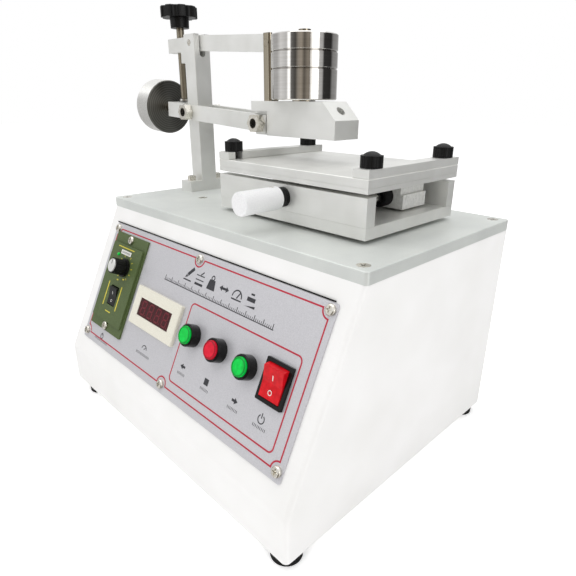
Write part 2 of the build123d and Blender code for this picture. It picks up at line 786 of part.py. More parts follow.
# ---------------------------------------------------------------- sample table
with BuildPart() as sample_table:
    with BuildSketch(Plane.XY.offset(table_z)):
        with Locations((slide_x, table_y)):
            Rectangle(slide_l, table_w)
    extrude(amount=table_t)
    chamfer(faces().sort_by(Axis.Z)[-1].edges(), seam_edge)
    with BuildSketch(Plane.XY.offset(table_z + table_seam - 0.2)):
        with Locations((slide_x, table_y)):
            Rectangle(slide_l + 1, table_w + 1)
            Rectangle(slide_l - 0.6, table_w - 0.6, mode=Mode.SUBTRACT)
    extrude(amount=0.4, mode=Mode.SUBTRACT)
    with BuildSketch(Plane.XY.offset(table_top)):
        with Locations(*[(x, y) for x in clamp_xs for y in thumb_ys]):
            Circle(shank_r + running)
    extrude(amount=-table_t, mode=Mode.SUBTRACT)
save(sample_table, "sample_table")

with BuildPart() as bearing_blocks:
    with BuildSketch(Plane.XY.offset(table_z - bearing_h)):
        with Locations(*[(x, bearing_y) for x in bearing_xs]):
            Rectangle(bearing_l, bearing_w)
    extrude(amount=11.5)
    with BuildSketch(Plane.XY.offset(table_z - bearing_h + 11.5)):
        with Locations(*[(x, bearing_y) for x in bearing_xs]):
            Rectangle(bearing_l - 5, bearing_w)
    extrude(amount=bearing_h - 11.5)
    with BuildSketch(Plane.XZ.offset(-slide_front_y)):
        with Locations(*[(x, table_rod_z) for x in bearing_xs]):
            Circle(rod_r + running)
    extrude(amount=-slide_w, mode=Mode.SUBTRACT)
save(bearing_blocks, "bearing_blocks")

nut_y = bearing_y - 20
with BuildPart() as table_nut:
    with BuildSketch(Plane.XY.offset(table_rod_z - 9)):
        with Locations((slide_x, nut_y)):
            Rectangle(26, 22)
    extrude(amount=9 + rod_drop)
    with BuildSketch(Plane.XZ.offset(-slide_front_y)):
        with Locations((slide_x, table_rod_z)):
            Circle(rod_r + running)
    extrude(amount=-slide_w, mode=Mode.SUBTRACT)
save(table_nut, "table_nut")

knob_end_y = slide_front_y - knob_gap
with BuildPart() as table_screw:
    with BuildSketch(Plane.XZ.offset(-(knob_end_y - 20))):
        with Locations((slide_x, table_rod_z)):
            Circle(rod_r)
    extrude(amount=-(slide_w + 20 + knob_gap - 5))
save(table_screw, "table_screw")

with BuildPart() as hand_knob:
    with BuildSketch(Plane.XZ.offset(-knob_end_y)):
        with Locations((slide_x, table_rod_z)):
            Circle(knob_r)
    extrude(amount=knob_l)
    chamfer(edges().sort_by(Axis.Y)[0], 0.5)
    chamfer(edges().sort_by(Axis.Y)[-1], 0.5)
    with BuildSketch(Plane.XZ.offset(-knob_end_y)):
        with Locations((slide_x, table_rod_z)):
            Circle(rod_r + loose)
    extrude(amount=20.5, mode=Mode.SUBTRACT)
save(hand_knob, "hand_knob")

# clamp bars, lifted and pressed down by their thumb screws
with BuildPart() as clamp_bar_left:
    with BuildSketch(Plane.XY.offset(table_top)):
        with Locations((clamp_xs[0], table_y)):
            Rectangle(clamp_l, table_w)
        with Locations((clamp_xs[0], thumb_ys[1])):
            Circle(shank_r + running, mode=Mode.SUBTRACT)
        with Locations((clamp_xs[0] + clamp_l / 2 - 5.2, thumb_ys[0])):
            Rectangle(10.4, 8, mode=Mode.SUBTRACT)
    extrude(amount=clamp_t)
    chamfer(faces().sort_by(Axis.Z)[0].edges().filter_by(GeomType.LINE), seam_edge)
save(clamp_bar_left, "clamp_bar_left")

with BuildPart() as clamp_bar_right:
    with BuildSketch(Plane.XY.offset(table_top)):
        with Locations((clamp_xs[1], table_y)):
            Rectangle(clamp_l, table_w)
        with Locations(*[(clamp_xs[1], y) for y in thumb_ys]):
            Circle(shank_r + running, mode=Mode.SUBTRACT)
    extrude(amount=clamp_t)
    chamfer(faces().sort_by(Axis.Z)[0].edges().filter_by(GeomType.LINE), seam_edge)
save(clamp_bar_right, "clamp_bar_right")


def thumb_screw(x, y):
    """One thumb screw: ribbed grip, domed top and shank."""
    dome_r = thumb_r - 1.6
    ball_r = (dome_r**2 + thumb_dome**2) / (2 * thumb_dome)
    with BuildPart() as screw:
        with BuildSketch(Plane.XY.offset(clamp_z + apart)):
            with Locations((x, y)):
                Circle(thumb_r)
                with PolarLocations(thumb_r + 0.25, 24):
                    Circle(0.6, mode=Mode.SUBTRACT)
        extrude(amount=thumb_h - apart)
        with BuildSketch(Plane(origin=(x, y, clamp_z + thumb_h), x_dir=(1, 0, 0), z_dir=(0, -1, 0))):
            with BuildLine():
                Line((0, thumb_dome), (0, -1))
                Line((0, -1), (dome_r, -1))
                Line((dome_r, -1), (dome_r, 0))
                RadiusArc((dome_r, 0), (0, thumb_dome), -ball_r)
            make_face()
        revolve(axis=Axis((x, y, 0), (0, 0, 1)))
        with BuildSketch(Plane.XY.offset(clamp_z + apart)):
            with Locations((x, y)):
                Circle(shank_r)
        extrude(amount=-(apart + clamp_t + table_t - 2.5))
    return screw


thumb_screw_front_left = thumb_screw(clamp_xs[0], thumb_ys[0])
save(thumb_screw_front_left, "thumb_screw_front_left")
thumb_screw_back_left = thumb_screw(clamp_xs[0], thumb_ys[1])
save(thumb_screw_back_left, "thumb_screw_back_left")
thumb_screw_front_right = thumb_screw(clamp_xs[1], thumb_ys[0])
save(thumb_screw_front_right, "thumb_screw_front_right")
thumb_screw_back_right = thumb_screw(clamp_xs[1], thumb_ys[1])
save(thumb_screw_back_right, "thumb_screw_back_right")

# ---------------------------------------------------------------- column
foot_top = plate_top + column_foot_h
foot_screw_ys = (mid_y - (column_foot_w - 15) / 2, mid_y + (column_foot_w - 15) / 2)
with BuildPart() as column_base:
    with BuildSketch(Plane.XY.offset(plate_top)):
        with Locations((column_cx, mid_y)):
            Rectangle(column_w, column_foot_w)
        with Locations(*[(column_cx, y) for y in foot_screw_ys]):
            Circle(2.5 + screw_play, mode=Mode.SUBTRACT)
    extrude(amount=column_foot_h)
save(column_base, "column_base")

with BuildPart() as column_screws:
    with BuildSketch(Plane.XY.offset(foot_top)):
        with Locations(*[(column_cx, y) for y in foot_screw_ys]):
            Circle(4.25)
    extrude(amount=5)
    with BuildSketch(Plane.XY.offset(foot_top)):
        with Locations(*[(column_cx, y) for y in foot_screw_ys]):
            Circle(2.5)
    extrude(amount=-(column_foot_h + plate_t - 1))
    with BuildSketch(Plane.XY.offset(foot_top + 5)):
        with Locations(*[(column_cx, y) for y in foot_screw_ys]):
            RegularPolygon(2.3, 6)
    extrude(amount=-2.8, mode=Mode.SUBTRACT)
save(column_screws, "column_screws")

column_h = column_top - column_foot_h
slot_end = plate_top + slot_floor + slot_w / 2
with BuildPart() as column:
    with BuildSketch(Plane.XY.offset(foot_top)):
        with Locations((column_cx, mid_y)):
            Rectangle(column_w, column_w)
    extrude(amount=column_h)
    chamfer(edges().filter_by(Axis.Z), 0.4)
    with BuildSketch(Plane.YZ.offset(column_cx - column_w)):
        with Locations((mid_y, slot_end)):
            Circle(slot_w / 2)
        with Locations((mid_y, (slot_end + foot_top + column_h) / 2 + 1)):
            Rectangle(slot_w, foot_top + column_h - slot_end + 2)
    extrude(amount=2 * column_w, mode=Mode.SUBTRACT)
    with BuildSketch(across(mid_y + column_w, column_cx, low_z)):
        Circle(bolt_r + loose)
    extrude(amount=-2 * column_w, mode=Mode.SUBTRACT)
    with BuildSketch(across(mid_y + column_w, column_cx, high_z)):
        Circle(pin_r + loose)
    extrude(amount=-2 * column_w, mode=Mode.SUBTRACT)
save(column, "column")

bracket_top = plate_top + column_top - bracket_drop
column_left = column_cx - column_w / 2
lift_cx = column_cx - lift_x
with BuildPart() as lift_bracket:
    with BuildSketch(Plane(origin=(column_left, mid_y + bracket_w / 2, bracket_top), x_dir=(1, 0, 0), z_dir=(0, -1, 0))):
        with BuildLine():
            Polyline(
                (0, 0),
                (-bracket_l, 0),
                (-bracket_l, -bracket_h),
                (-bracket_leg_t, -bracket_h),
                (-bracket_leg_t, -bracket_leg_h),
                (0, -bracket_leg_h),
                close=True,
            )
        make_face()
    extrude(amount=bracket_w)
    with BuildSketch(Plane.XY.offset(bracket_top)):
        with Locations((lift_cx, mid_y)):
            Circle(lift_r + running)
    extrude(amount=-bracket_h - 1, mode=Mode.SUBTRACT)
save(lift_bracket, "lift_bracket")

arm_out = arm_in + arm_t
bolt_face = arm_out + apart


def pivot_bolt(x, z):
    """A bolt across the mechanism with a hexagon nut at each end."""
    with BuildPart() as bolt:
        with BuildSketch(across(mid_y - bolt_face, x, z)):
            Circle(bolt_r)
        extrude(amount=2 * bolt_face)
        for side in (-1, 1):
            with BuildSketch(across(mid_y + side * bolt_face, x, z)):
                RegularPolygon(nut_across / 2, 6, major_radius=False)
            extrude(amount=side * nut_h)
            with BuildSketch(across(mid_y + side * (bolt_face + nut_h), x, z)):
                Circle(bolt_r + apart)
            extrude(amount=-side * nut_recess, mode=Mode.SUBTRACT)
    return bolt


column_bolt = pivot_bolt(column_cx, low_z)
with BuildPart() as column_pivots:
    add(column_bolt.part)
    with BuildSketch(across(mid_y - column_w / 2, column_cx, high_z)):
        Circle(pin_r)
    extrude(amount=column_w)
save(column_pivots, "column_pivots")

# ---------------------------------------------------------------- lift screw
end_top_z = low_z + lift_x * tan(tilt) + arm_h / 2 / cos(tilt)
pad_z = end_top_z + 0.4
pad_h = 3.2
with BuildPart() as lift_pad:
    with BuildSketch(Plane(origin=(lift_cx, mid_y, pad_z), x_dir=(1, 0, 0), z_dir=(0, -1, 0))):
        with BuildLine():
            RadiusArc((0, 0), (6, 1.4), -13.5)
            Line((6, 1.4), (6, pad_h))
            Line((6, pad_h), (0, pad_h))
            Line((0, pad_h), (0, 0))
        make_face()
    revolve(axis=Axis((lift_cx, mid_y, 0), (0, 0, 1)))
save(lift_pad, "lift_pad")

hub_z = plate_top + 165.0
star_z = plate_top + 174.7
lift_from = pad_z + pad_h + apart
lift_to = star_z + 4
with BuildPart() as lift_screw:
    with BuildSketch(Plane.XY.offset(lift_from)):
        with Locations((lift_cx, mid_y)):
            Circle(lift_r)
    extrude(amount=lift_to - lift_from)
save(lift_screw, "lift_screw")

with BuildPart() as star_knob:
    with BuildSketch(Plane.XY.offset(hub_z)):
        with Locations((lift_cx, mid_y)):
            Circle(9.6)
    extrude(amount=star_z - hub_z + 1, taper=-2)
    with BuildSketch(Plane.XY.offset(star_z)):
        with Locations((lift_cx, mid_y)):
            Circle(star_r)
            with PolarLocations(star_r + 2.2, 8):
                Circle(4.6, mode=Mode.SUBTRACT)
    extrude(amount=star_h)
    fillet(faces().sort_by(Axis.Z)[-1].edges(), 1.2)
    with BuildSketch(Plane.XY.offset(hub_z)):
        with Locations((lift_cx, mid_y)):
            Circle(lift_r + loose)
    extrude(amount=lift_to - hub_z + 0.2, mode=Mode.SUBTRACT)
save(star_knob, "star_knob")

# ---------------------------------------------------------------- lower arms and counterweight
with BuildPart() as lower_arms:
    with BuildSketch(arm_plane.offset(arm_in)):
        with Locations(((arm_reach + arm_nose - arm_tail) / 2, 0)):
            Rectangle(arm_reach + arm_nose + arm_tail, arm_h)
        with Locations((0, 0), (arm_reach, 0)):
            Circle(bolt_r + running, mode=Mode.SUBTRACT)
    extrude(amount=arm_t)
    with BuildSketch(arm_plane.offset(-arm_in)):
        with Locations(((arm_reach + arm_nose - arm_tail) / 2, 0)):
            Rectangle(arm_reach + arm_nose + arm_tail, arm_h)
        with Locations((0, 0), (arm_reach, 0)):
            Circle(bolt_r + running, mode=Mode.SUBTRACT)
    extrude(amount=-arm_t)
save(lower_arms, "lower_arms")

end_block_l = 21.0
with BuildPart() as arm_end_block:
    with BuildSketch(arm_plane.offset(arm_in)):
        with Locations((end_block_l / 2 - arm_tail, 0)):
            Rectangle(end_block_l, arm_h)
    extrude(amount=-2 * arm_in)
    with BuildSketch(tail_plane(arm_tail)):
        Circle(disc_rod_r + loose)
    extrude(amount=-12, mode=Mode.SUBTRACT)
save(arm_end_block, "arm_end_block")

rod_tip = (column_x + arm_overhang - disc_rod_r * sin(tilt)) / cos(tilt)
with BuildPart() as counterweight_rod:
    with BuildSketch(tail_plane(arm_tail - 11.5)):
        Circle(disc_rod_r)
    extrude(amount=rod_tip - arm_tail + 11.5)
save(counterweight_rod, "counterweight_rod")

with BuildPart() as counterweight:
    with BuildSketch(tail_plane(disc_face)):
        Circle(disc_r)
        Circle(disc_rod_r + running, mode=Mode.SUBTRACT)
    extrude(amount=disc_t)
    rims = edges().filter_by(GeomType.CIRCLE).filter_by(lambda e: e.radius > disc_r - 1)
    chamfer(rims, 0.8)
save(counterweight, "counterweight")

with BuildPart() as counterweight_nut:
    with BuildSketch(tail_plane(disc_face + disc_t + apart)):
        Circle(10)
        Circle(disc_rod_r + running, mode=Mode.SUBTRACT)
    extrude(amount=disc_nut_t)
save(counterweight_nut, "counterweight_nut")

# ---------------------------------------------------------------- upper arm and head
with BuildPart() as upper_arm:
    with BuildSketch(upper_plane.offset(arm_t / 2)):
        with Locations((arm_reach / 2, 0)):
            SlotCenterToCenter(arm_reach, upper_arm_h)
        with Locations((0, 0)):
            Circle(pin_r + running, mode=Mode.SUBTRACT)
        with Locations((arm_reach, 0)):
            Circle(pin_r + apart, mode=Mode.SUBTRACT)
    extrude(amount=-arm_t)
save(upper_arm, "upper_arm")

pocket_r = arm_nose + 1.9
pocket_top = head_pz + 10.5
chamfer_mid = Vector(head_right - head_chamfer / 2, mid_y, head_top - head_chamfer / 2)
pencil_plane = Plane(origin=chamfer_mid, x_dir=(0, 1, 0), z_dir=(1, 0, 1))
grub_x = chamfer_mid.X - 13
grub_z = chamfer_mid.Z - 13
grub_r = 2.5
with BuildPart() as head_block:
    with BuildSketch(Plane(origin=(head_left, mid_y + head_w / 2, head_bottom), x_dir=(1, 0, 0), z_dir=(0, -1, 0))):
        with BuildLine():
            Polyline(
                (0, 0),
                (head_l, 0),
                (head_l, head_h - head_chamfer),
                (head_l - head_chamfer, head_h),
                (0, head_h),
                close=True,
            )
        make_face()
    extrude(amount=head_w)
    pocket_l = head_px + pocket_r - head_left
    pocket_h = pocket_top - head_bottom
    for side in (-1, 1):
        with BuildSketch(across(mid_y + side * (head_w / 2 + 1), head_left + pocket_l / 2, head_bottom + pocket_h / 2)):
            Rectangle(pocket_l, pocket_h)
        extrude(amount=-side * (arm_t + cheek_gap + 1), mode=Mode.SUBTRACT)
    with BuildSketch(across(mid_y + head_w, head_px, head_pz)):
        Circle(bolt_r + loose)
    extrude(amount=-2 * head_w, mode=Mode.SUBTRACT)
    with BuildSketch(pencil_plane.offset(1)):
        Circle(pencil_r)
    extrude(amount=-60, mode=Mode.SUBTRACT)
    with BuildSketch(across(mid_y + head_w, grub_x, grub_z)):
        Circle(grub_r + loose)
    extrude(amount=-head_w, mode=Mode.SUBTRACT)
    with BuildSketch(Plane.XY.offset(head_top)):
        with Locations((stud_x, mid_y)):
            Circle(stud_r - 1 + loose)
    extrude(amount=-12, mode=Mode.SUBTRACT)
save(head_block, "head_block")

link_top = head_pz + pivot_rise + 7.9
with BuildPart() as link_post:
    with BuildSketch(Plane.XY.offset(head_top)):
        with Locations((head_px, mid_y)):
            Rectangle(link_post_t, link_post_w)
    extrude(amount=link_top - head_top)
    fillet(edges().filter_by(Axis.Z), 3)
    with BuildSketch(Plane.XY.offset(link_top)):
        with Locations((head_px, mid_y)):
            Rectangle(link_post_t + 2, arm_t + 2 * apart)
    extrude(amount=-24, mode=Mode.SUBTRACT)
    with BuildSketch(across(mid_y + link_post_w, head_px, head_pz + pivot_rise)):
        Circle(pin_r + loose)
    extrude(amount=-2 * link_post_w, mode=Mode.SUBTRACT)
save(link_post, "link_post")

head_bolt = pivot_bolt(head_px, head_pz)
with BuildPart() as head_pivots:
    add(head_bolt.part)
    with BuildSketch(across(mid_y - link_post_w / 2, head_px, head_pz + pivot_rise)):
        Circle(pin_r)
    extrude(amount=link_post_w)
save(head_pivots, "head_pivots")

with BuildPart() as pencil_grub_screw:
    with BuildSketch(across(mid_y + pencil_r + 0.3, grub_x, grub_z)):
        Circle(grub_r)
    extrude(amount=head_w / 2 - pencil_r - 1)
    with BuildSketch(across(mid_y + head_w / 2 - 0.7, grub_x, grub_z)):
        RegularPolygon(1.4, 6)
    extrude(amount=-2.5, mode=Mode.SUBTRACT)
save(pencil_grub_screw, "pencil_grub_screw")

# ---------------------------------------------------------------- weights and their stud
seat_z = head_top + weight_seat
with BuildPart() as weight_stud:
    with BuildSketch(Plane.XY.offset(head_top)):
        with Locations((stud_x, mid_y)):
            Circle(stud_r + 5)
    extrude(amount=weight_seat - weight_gap)
    with BuildSketch(Plane.XY.offset(head_top)):
        with Locations((stud_x, mid_y)):
            Circle(stud_r - 1)
    extrude(amount=-11.5)
    with BuildSketch(Plane.XY.offset(head_top)):
        with Locations((stud_x, mid_y)):
            Circle(stud_r)
    extrude(amount=seat_z + sum(weight_heights) + 2 * weight_gap + 4 - head_top)
save(weight_stud, "weight_stud")


def weight_disc(base_z, height):
    """One round weight on the stud."""
    with BuildPart() as weight:
        with BuildSketch(Plane.XY.offset(base_z)):
            with Locations((stud_x, mid_y)):
                Circle(weight_r)
                Circle(stud_r + apart, mode=Mode.SUBTRACT)
        extrude(amount=height)
        rims = edges().filter_by(GeomType.CIRCLE).filter_by(lambda e: e.radius > weight_r - 1)
        chamfer(rims, 0.8)
    return weight


weight_zs = [seat_z]
for height in weight_heights[:-1]:
    weight_zs.append(weight_zs[-1] + height + weight_gap)

weight_bottom = weight_disc(weight_zs[0], weight_heights[0])
save(weight_bottom, "weight_bottom")
weight_middle = weight_disc(weight_zs[1], weight_heights[1])
save(weight_middle, "weight_middle")
weight_top = weight_disc(weight_zs[2], weight_heights[2])
save(weight_top, "weight_top")
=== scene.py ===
"""Looks of the film scratch tester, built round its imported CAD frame."""
import json
import math

import bmesh
import bpy
from mathutils import Euler, Matrix, Vector


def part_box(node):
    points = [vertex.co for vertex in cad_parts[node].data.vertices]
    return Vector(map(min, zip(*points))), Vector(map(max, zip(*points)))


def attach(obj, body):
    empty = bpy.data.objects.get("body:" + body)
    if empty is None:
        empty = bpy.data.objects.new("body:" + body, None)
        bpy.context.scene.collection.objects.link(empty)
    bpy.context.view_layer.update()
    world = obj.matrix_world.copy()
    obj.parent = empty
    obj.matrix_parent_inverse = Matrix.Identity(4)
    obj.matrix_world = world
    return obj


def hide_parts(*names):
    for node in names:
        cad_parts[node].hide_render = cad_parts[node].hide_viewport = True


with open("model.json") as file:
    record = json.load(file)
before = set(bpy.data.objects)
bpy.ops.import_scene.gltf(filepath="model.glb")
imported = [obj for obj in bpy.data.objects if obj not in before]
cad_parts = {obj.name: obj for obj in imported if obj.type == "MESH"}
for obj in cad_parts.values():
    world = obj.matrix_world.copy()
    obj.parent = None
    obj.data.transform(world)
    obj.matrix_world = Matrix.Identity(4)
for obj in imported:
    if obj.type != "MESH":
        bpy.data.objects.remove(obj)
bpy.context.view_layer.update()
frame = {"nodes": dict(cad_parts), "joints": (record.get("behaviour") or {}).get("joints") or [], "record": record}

MM = 0.001
COLOUR_A, COLOUR_B, COLOUR_OUT = 6, 7, 2    # the Mix node's colour sockets


# ---------------------------------------------------------------- camera, lights and floor
def make_camera():
    """The camera stands in front of the right-hand corner, a little above the plate."""
    data = bpy.data.cameras.new("camera")
    data.lens = 30.44
    data.sensor_width = 36.0
    data.shift_x = -0.0065
    data.shift_y = 0.0028
    data.clip_start = 0.01
    camera = bpy.data.objects.new("camera", data)
    camera.location = (0.36668, -0.29116, 0.29062)
    camera.rotation_euler = Euler([math.radians(a) for a in (68.5498, -0.2762, 45.5763)])
    bpy.context.scene.collection.objects.link(camera)
    bpy.context.scene.camera = camera


def soft_box(name, place, aim, size, watts):
    """A square studio light that points at a place."""
    data = bpy.data.lights.new(name, "AREA")
    data.size = size
    data.energy = watts
    lamp = bpy.data.objects.new(name, data)
    lamp.location = place
    lamp.rotation_euler = (Vector(aim) - Vector(place)).to_track_quat("-Z", "Y").to_euler()
    lamp.visible_camera = False
    bpy.context.scene.collection.objects.link(lamp)


# What polished metal mirrors round the bench: azimuth in degrees from +X, then brightness and warmth.
ROOM_BANDS = [
    (-180, 0.50, 0.0), (-152, 0.52, 0.0), (-134, 0.86, 0.0), (-108, 0.66, 0.0), (-102, 1.60, 0.0),
    (-96, 1.60, 0.0), (-92, 0.20, 0.3), (-76, 0.08, 0.6), (-66, 0.34, 1.0), (-56, 0.40, 1.2),
    (-46, 0.13, 1.2), (-34, 0.30, 1.2), (-22, 0.24, 1.1),
    (-16, 1.50, 0.0), (2, 1.50, 0.0), (6, 0.60, 0.0), (18, 0.50, 0.0), (24, 0.04, 0.1),
    (56, 0.03, 0.1), (68, 0.28, 0.0), (100, 0.36, 0.0), (128, 0.66, 0.0), (180, 0.72, 0.0),
]


def make_world():
    """White studio: brighter above for matt surfaces, with light and dark cards for metal to mirror."""
    world = bpy.data.worlds.new("studio")
    world.use_nodes = True
    tree = world.node_tree
    tree.nodes.clear()
    path = node(tree, "ShaderNodeLightPath")
    coords = node(tree, "ShaderNodeTexCoord")
    parts = node(tree, "ShaderNodeSeparateXYZ", {"Vector": coords.outputs["Generated"]})
    angle = node(tree, "ShaderNodeMath", {0: parts.outputs["Y"], 1: parts.outputs["X"]}, operation="ARCTAN2")
    turn = node(
        tree, "ShaderNodeMath", {0: angle.outputs[0]}, {1: 0.5 / math.pi, 2: 0.5}, operation="MULTIPLY_ADD"
    )
    bands = node(tree, "ShaderNodeValToRGB", {"Fac": turn.outputs[0]})
    ramp = bands.color_ramp
    ramp.interpolation = "LINEAR"
    while len(ramp.elements) > 1:
        ramp.elements.remove(ramp.elements[-1])
    for i, (azimuth, level, warm) in enumerate(ROOM_BANDS):
        at = min(max(azimuth / 360.0 + 0.5, 0.0), 1.0)
        stop = ramp.elements[0] if i == 0 else ramp.elements.new(at)
        stop.position = at
        stop.color = (level, level * (1 - 0.10 * warm), level * (1 - 0.22 * warm), 1)
    rise = node(
        tree, "ShaderNodeMapRange", {"Value": parts.outputs["Z"]}, {"From Min": 0.16, "From Max": 0.5},
        interpolation_type="SMOOTHSTEP",
    )
    mirrored = node(
        tree, "ShaderNodeMix", {"Factor": rise.outputs[0], COLOUR_A: bands.outputs["Color"]},
        {COLOUR_B: (0.98, 0.985, 0.99, 1)}, data_type="RGBA",
    )
    height = node(tree, "ShaderNodeMapRange", {"Value": parts.outputs["Z"]}, {"To Min": 0.36, "To Max": 0.96})
    glossy = node(tree, "ShaderNodeMix", {
        "Factor": path.outputs["Is Glossy Ray"], COLOUR_A: height.outputs[0],
        COLOUR_B: mirrored.outputs[COLOUR_OUT],
    }, data_type="RGBA")
    seen = node(tree, "ShaderNodeMix", {
        "Factor": path.outputs["Is Camera Ray"], COLOUR_A: glossy.outputs[COLOUR_OUT],
    }, {COLOUR_B: (1, 1, 1, 1)}, data_type="RGBA")
    sky = node(tree, "ShaderNodeBackground", {"Color": seen.outputs[COLOUR_OUT]}, {"Strength": 1.0})
    node(tree, "ShaderNodeOutputWorld", {"Surface": sky.outputs[0]})
    bpy.context.scene.world = world


def make_floor():
    """A plain white sheet, far larger than the view."""
    mesh = bpy.data.meshes.new("floor")
    half = 6.0
    sheet = [(-half, -half, 0), (half, -half, 0), (half, half, 0), (-half, half, 0)]
    mesh.from_pydata(sheet, [], [(0, 1, 2, 3)])
    floor = bpy.data.objects.new("floor", mesh)
    bpy.context.scene.collection.objects.link(floor)
    floor.location.z = -0.2 * MM
    floor.visible_glossy = False
    floor.data.materials.append(paper_white())


# ---------------------------------------------------------------- material helpers
def linear(code):
    """An sRGB hex value as linear RGBA."""
    parts = [int(code[i:i + 2], 16) / 255 for i in (1, 3, 5)]
    return (*[c / 12.92 if c <= 0.04045 else ((c + 0.055) / 1.055) ** 2.4 for c in parts], 1.0)


def node(tree, kind, links=None, values=None, **settings):
    """Add a node with its settings, input values and incoming links."""
    made = tree.nodes.new(kind)
    for name, value in settings.items():
        setattr(made, name, value)
    for key, value in (values or {}).items():
        made.inputs[key].default_value = value
    for key, source in (links or {}).items():
        tree.links.new(source, made.inputs[key])
    return made


def start(name, **values):
    """A material with one shader; values are set on the shader's own sockets."""
    made = bpy.data.materials.new(name)
    made.use_nodes = True
    tree = made.node_tree
    tree.nodes.clear()
    shader = node(tree, "ShaderNodeBsdfPrincipled", values=values)
    node(tree, "ShaderNodeOutputMaterial", {"Surface": shader.outputs[0]})
    coords = node(tree, "ShaderNodeTexCoord")
    return made, tree, shader, coords.outputs["Object"]


def stretched(tree, vector, scale, place=(0, 0, 0), turn=(0, 0, 0)):
    """Coordinates scaled by axis, in cycles per metre, about a place."""
    moved = node(tree, "ShaderNodeVectorMath", {0: vector}, {1: place}, operation="SUBTRACT")
    return node(
        tree, "ShaderNodeMapping", {"Vector": moved.outputs[0]}, {"Scale": scale, "Rotation": turn}
    ).outputs[0]


def grain(tree, vector, size_mm, detail=3.0, rough=0.55):
    """Noise whose largest spots measure about size_mm."""
    return node(
        tree, "ShaderNodeTexNoise", {"Vector": vector},
        {"Scale": 1.0 / (size_mm * MM), "Detail": detail, "Roughness": rough},
    ).outputs["Fac"]


def spread(tree, value, low, high, from_low=0.3, from_high=0.7):
    """A 0 to 1 pattern spread over a range."""
    return node(
        tree, "ShaderNodeMapRange", {"Value": value},
        {"From Min": from_low, "From Max": from_high, "To Min": low, "To Max": high},
    ).outputs[0]


def two_tone(tree, value, dark, light):
    """A pattern between two hex colours."""
    return node(
        tree, "ShaderNodeMix", {"Factor": value}, {COLOUR_A: linear(dark), COLOUR_B: linear(light)},
        data_type="RGBA",
    ).outputs[COLOUR_OUT]


def tint(tree, shader, pattern, dark, light):
    """Base colour between two hex colours, by a pattern."""
    tree.links.new(two_tone(tree, spread(tree, pattern, 0, 1), dark, light), shader.inputs["Base Color"])


def dull(tree, shader, pattern, low, high):
    """Roughness over a range, by a pattern."""
    tree.links.new(spread(tree, pattern, low, high), shader.inputs["Roughness"])


def bump(tree, shader, height, depth_mm, strength=1.0):
    """Relief of a depth in millimetres on a shader."""
    made = node(tree, "ShaderNodeBump", {"Height": height}, {"Strength": strength, "Distance": depth_mm * MM})
    tree.links.new(made.outputs[0], shader.inputs["Normal"])


# ---------------------------------------------------------------- materials
def paper_white():
    """Matt white background paper."""
    made, tree, shader, _ = start("paper_white", **{"Base Color": linear("#FFFFFF"), "Roughness": 1.0})
    shader.inputs["Specular IOR Level"].default_value = 0.0
    shader.inputs["Emission Color"].default_value = linear("#FFFFFF")
    shader.inputs["Emission Strength"].default_value = 0.34
    return made


def powder_coat():
    """Polyester powder coat, baked on sheet steel: clean white, satin, with a faint orange peel."""
    made, tree, shader, here = start("powder_coat_white", Roughness=0.38, IOR=1.5)
    cloud = grain(tree, here, 60, 2.0)
    tint(tree, shader, cloud, "#F0EFED", "#F6F5F4")
    dull(tree, shader, grain(tree, here, 9), 0.34, 0.46)
    # Real orange peel is 0.5 mm across; it is drawn at 1.4 mm so that it shows.
    bump(tree, shader, grain(tree, here, 1.4, 2.0), 0.03, 0.5)
    return made


def blasted_plate():
    """Bead-blasted and clear-anodised aluminium plate: mid grey, very even, with a soft broad sheen."""
    made, tree, shader, here = start("blasted_aluminium_plate", Metallic=0.35, Roughness=0.5)
    cloud = grain(tree, here, 45, 3.0)
    tint(tree, shader, cloud, "#D2D5D2", "#DDE0DC")
    # Blasting grit leaves 0.2 mm pits; they are drawn at 0.9 mm so that they show.
    pits = grain(tree, here, 0.9, 2.0)
    dull(tree, shader, pits, 0.42, 0.56)
    bump(tree, shader, pits, 0.03, 0.5)
    return made


def printed_sheet():
    """Aluminium sheet with a matt silver-grey printed film: cool grey with a fine metallic fleck."""
    made, tree, shader, here = start("printed_panel_film", Metallic=0.4, Roughness=0.36)
    fleck = grain(tree, here, 0.8, 2.0)
    tint(tree, shader, fleck, "#C4C3C7", "#D2D1D5")
    dull(tree, shader, grain(tree, here, 14), 0.3, 0.4)
    bump(tree, shader, fleck, 0.012, 0.4)
    return made


def anodised():
    """Milled aluminium, clear anodised: pale satin silver with faint cutter lines along its length."""
    made, tree, shader, here = start("anodised_aluminium", Metallic=0.55, Roughness=0.4)
    lines = grain(tree, stretched(tree, here, (0.04, 0.6, 1.0)), 0.9, 3.0)
    cloud = grain(tree, here, 30, 2.0)
    tint(tree, shader, cloud, "#E0E0DC", "#EBEBE8")
    dull(tree, shader, lines, 0.33, 0.5)
    bump(tree, shader, lines, 0.01, 0.35)
    return made


def milled():
    """Bare milled aluminium: brighter and finer than the anodised pieces."""
    made, tree, shader, here = start("milled_aluminium", Metallic=1.0, Roughness=0.33)
    lines = grain(tree, stretched(tree, here, (1.0, 0.08, 0.6)), 0.7, 3.0)
    tint(tree, shader, lines, "#D6D6D3", "#E6E6E3")
    bump(tree, shader, lines, 0.01, 0.4)
    return made


def turned_steel(name, dark, light, rough, axis_scale):
    """Lathe-turned and polished steel: a clear mirror with fine tool rings."""
    made, tree, shader, here = start(name, Metallic=1.0, Roughness=rough)
    rings = grain(tree, stretched(tree, here, axis_scale), 1.6, 2.0)
    tint(tree, shader, rings, dark, light)
    dull(tree, shader, rings, rough * 0.85, rough * 1.2)
    bump(tree, shader, rings, 0.001, 0.2)
    return made


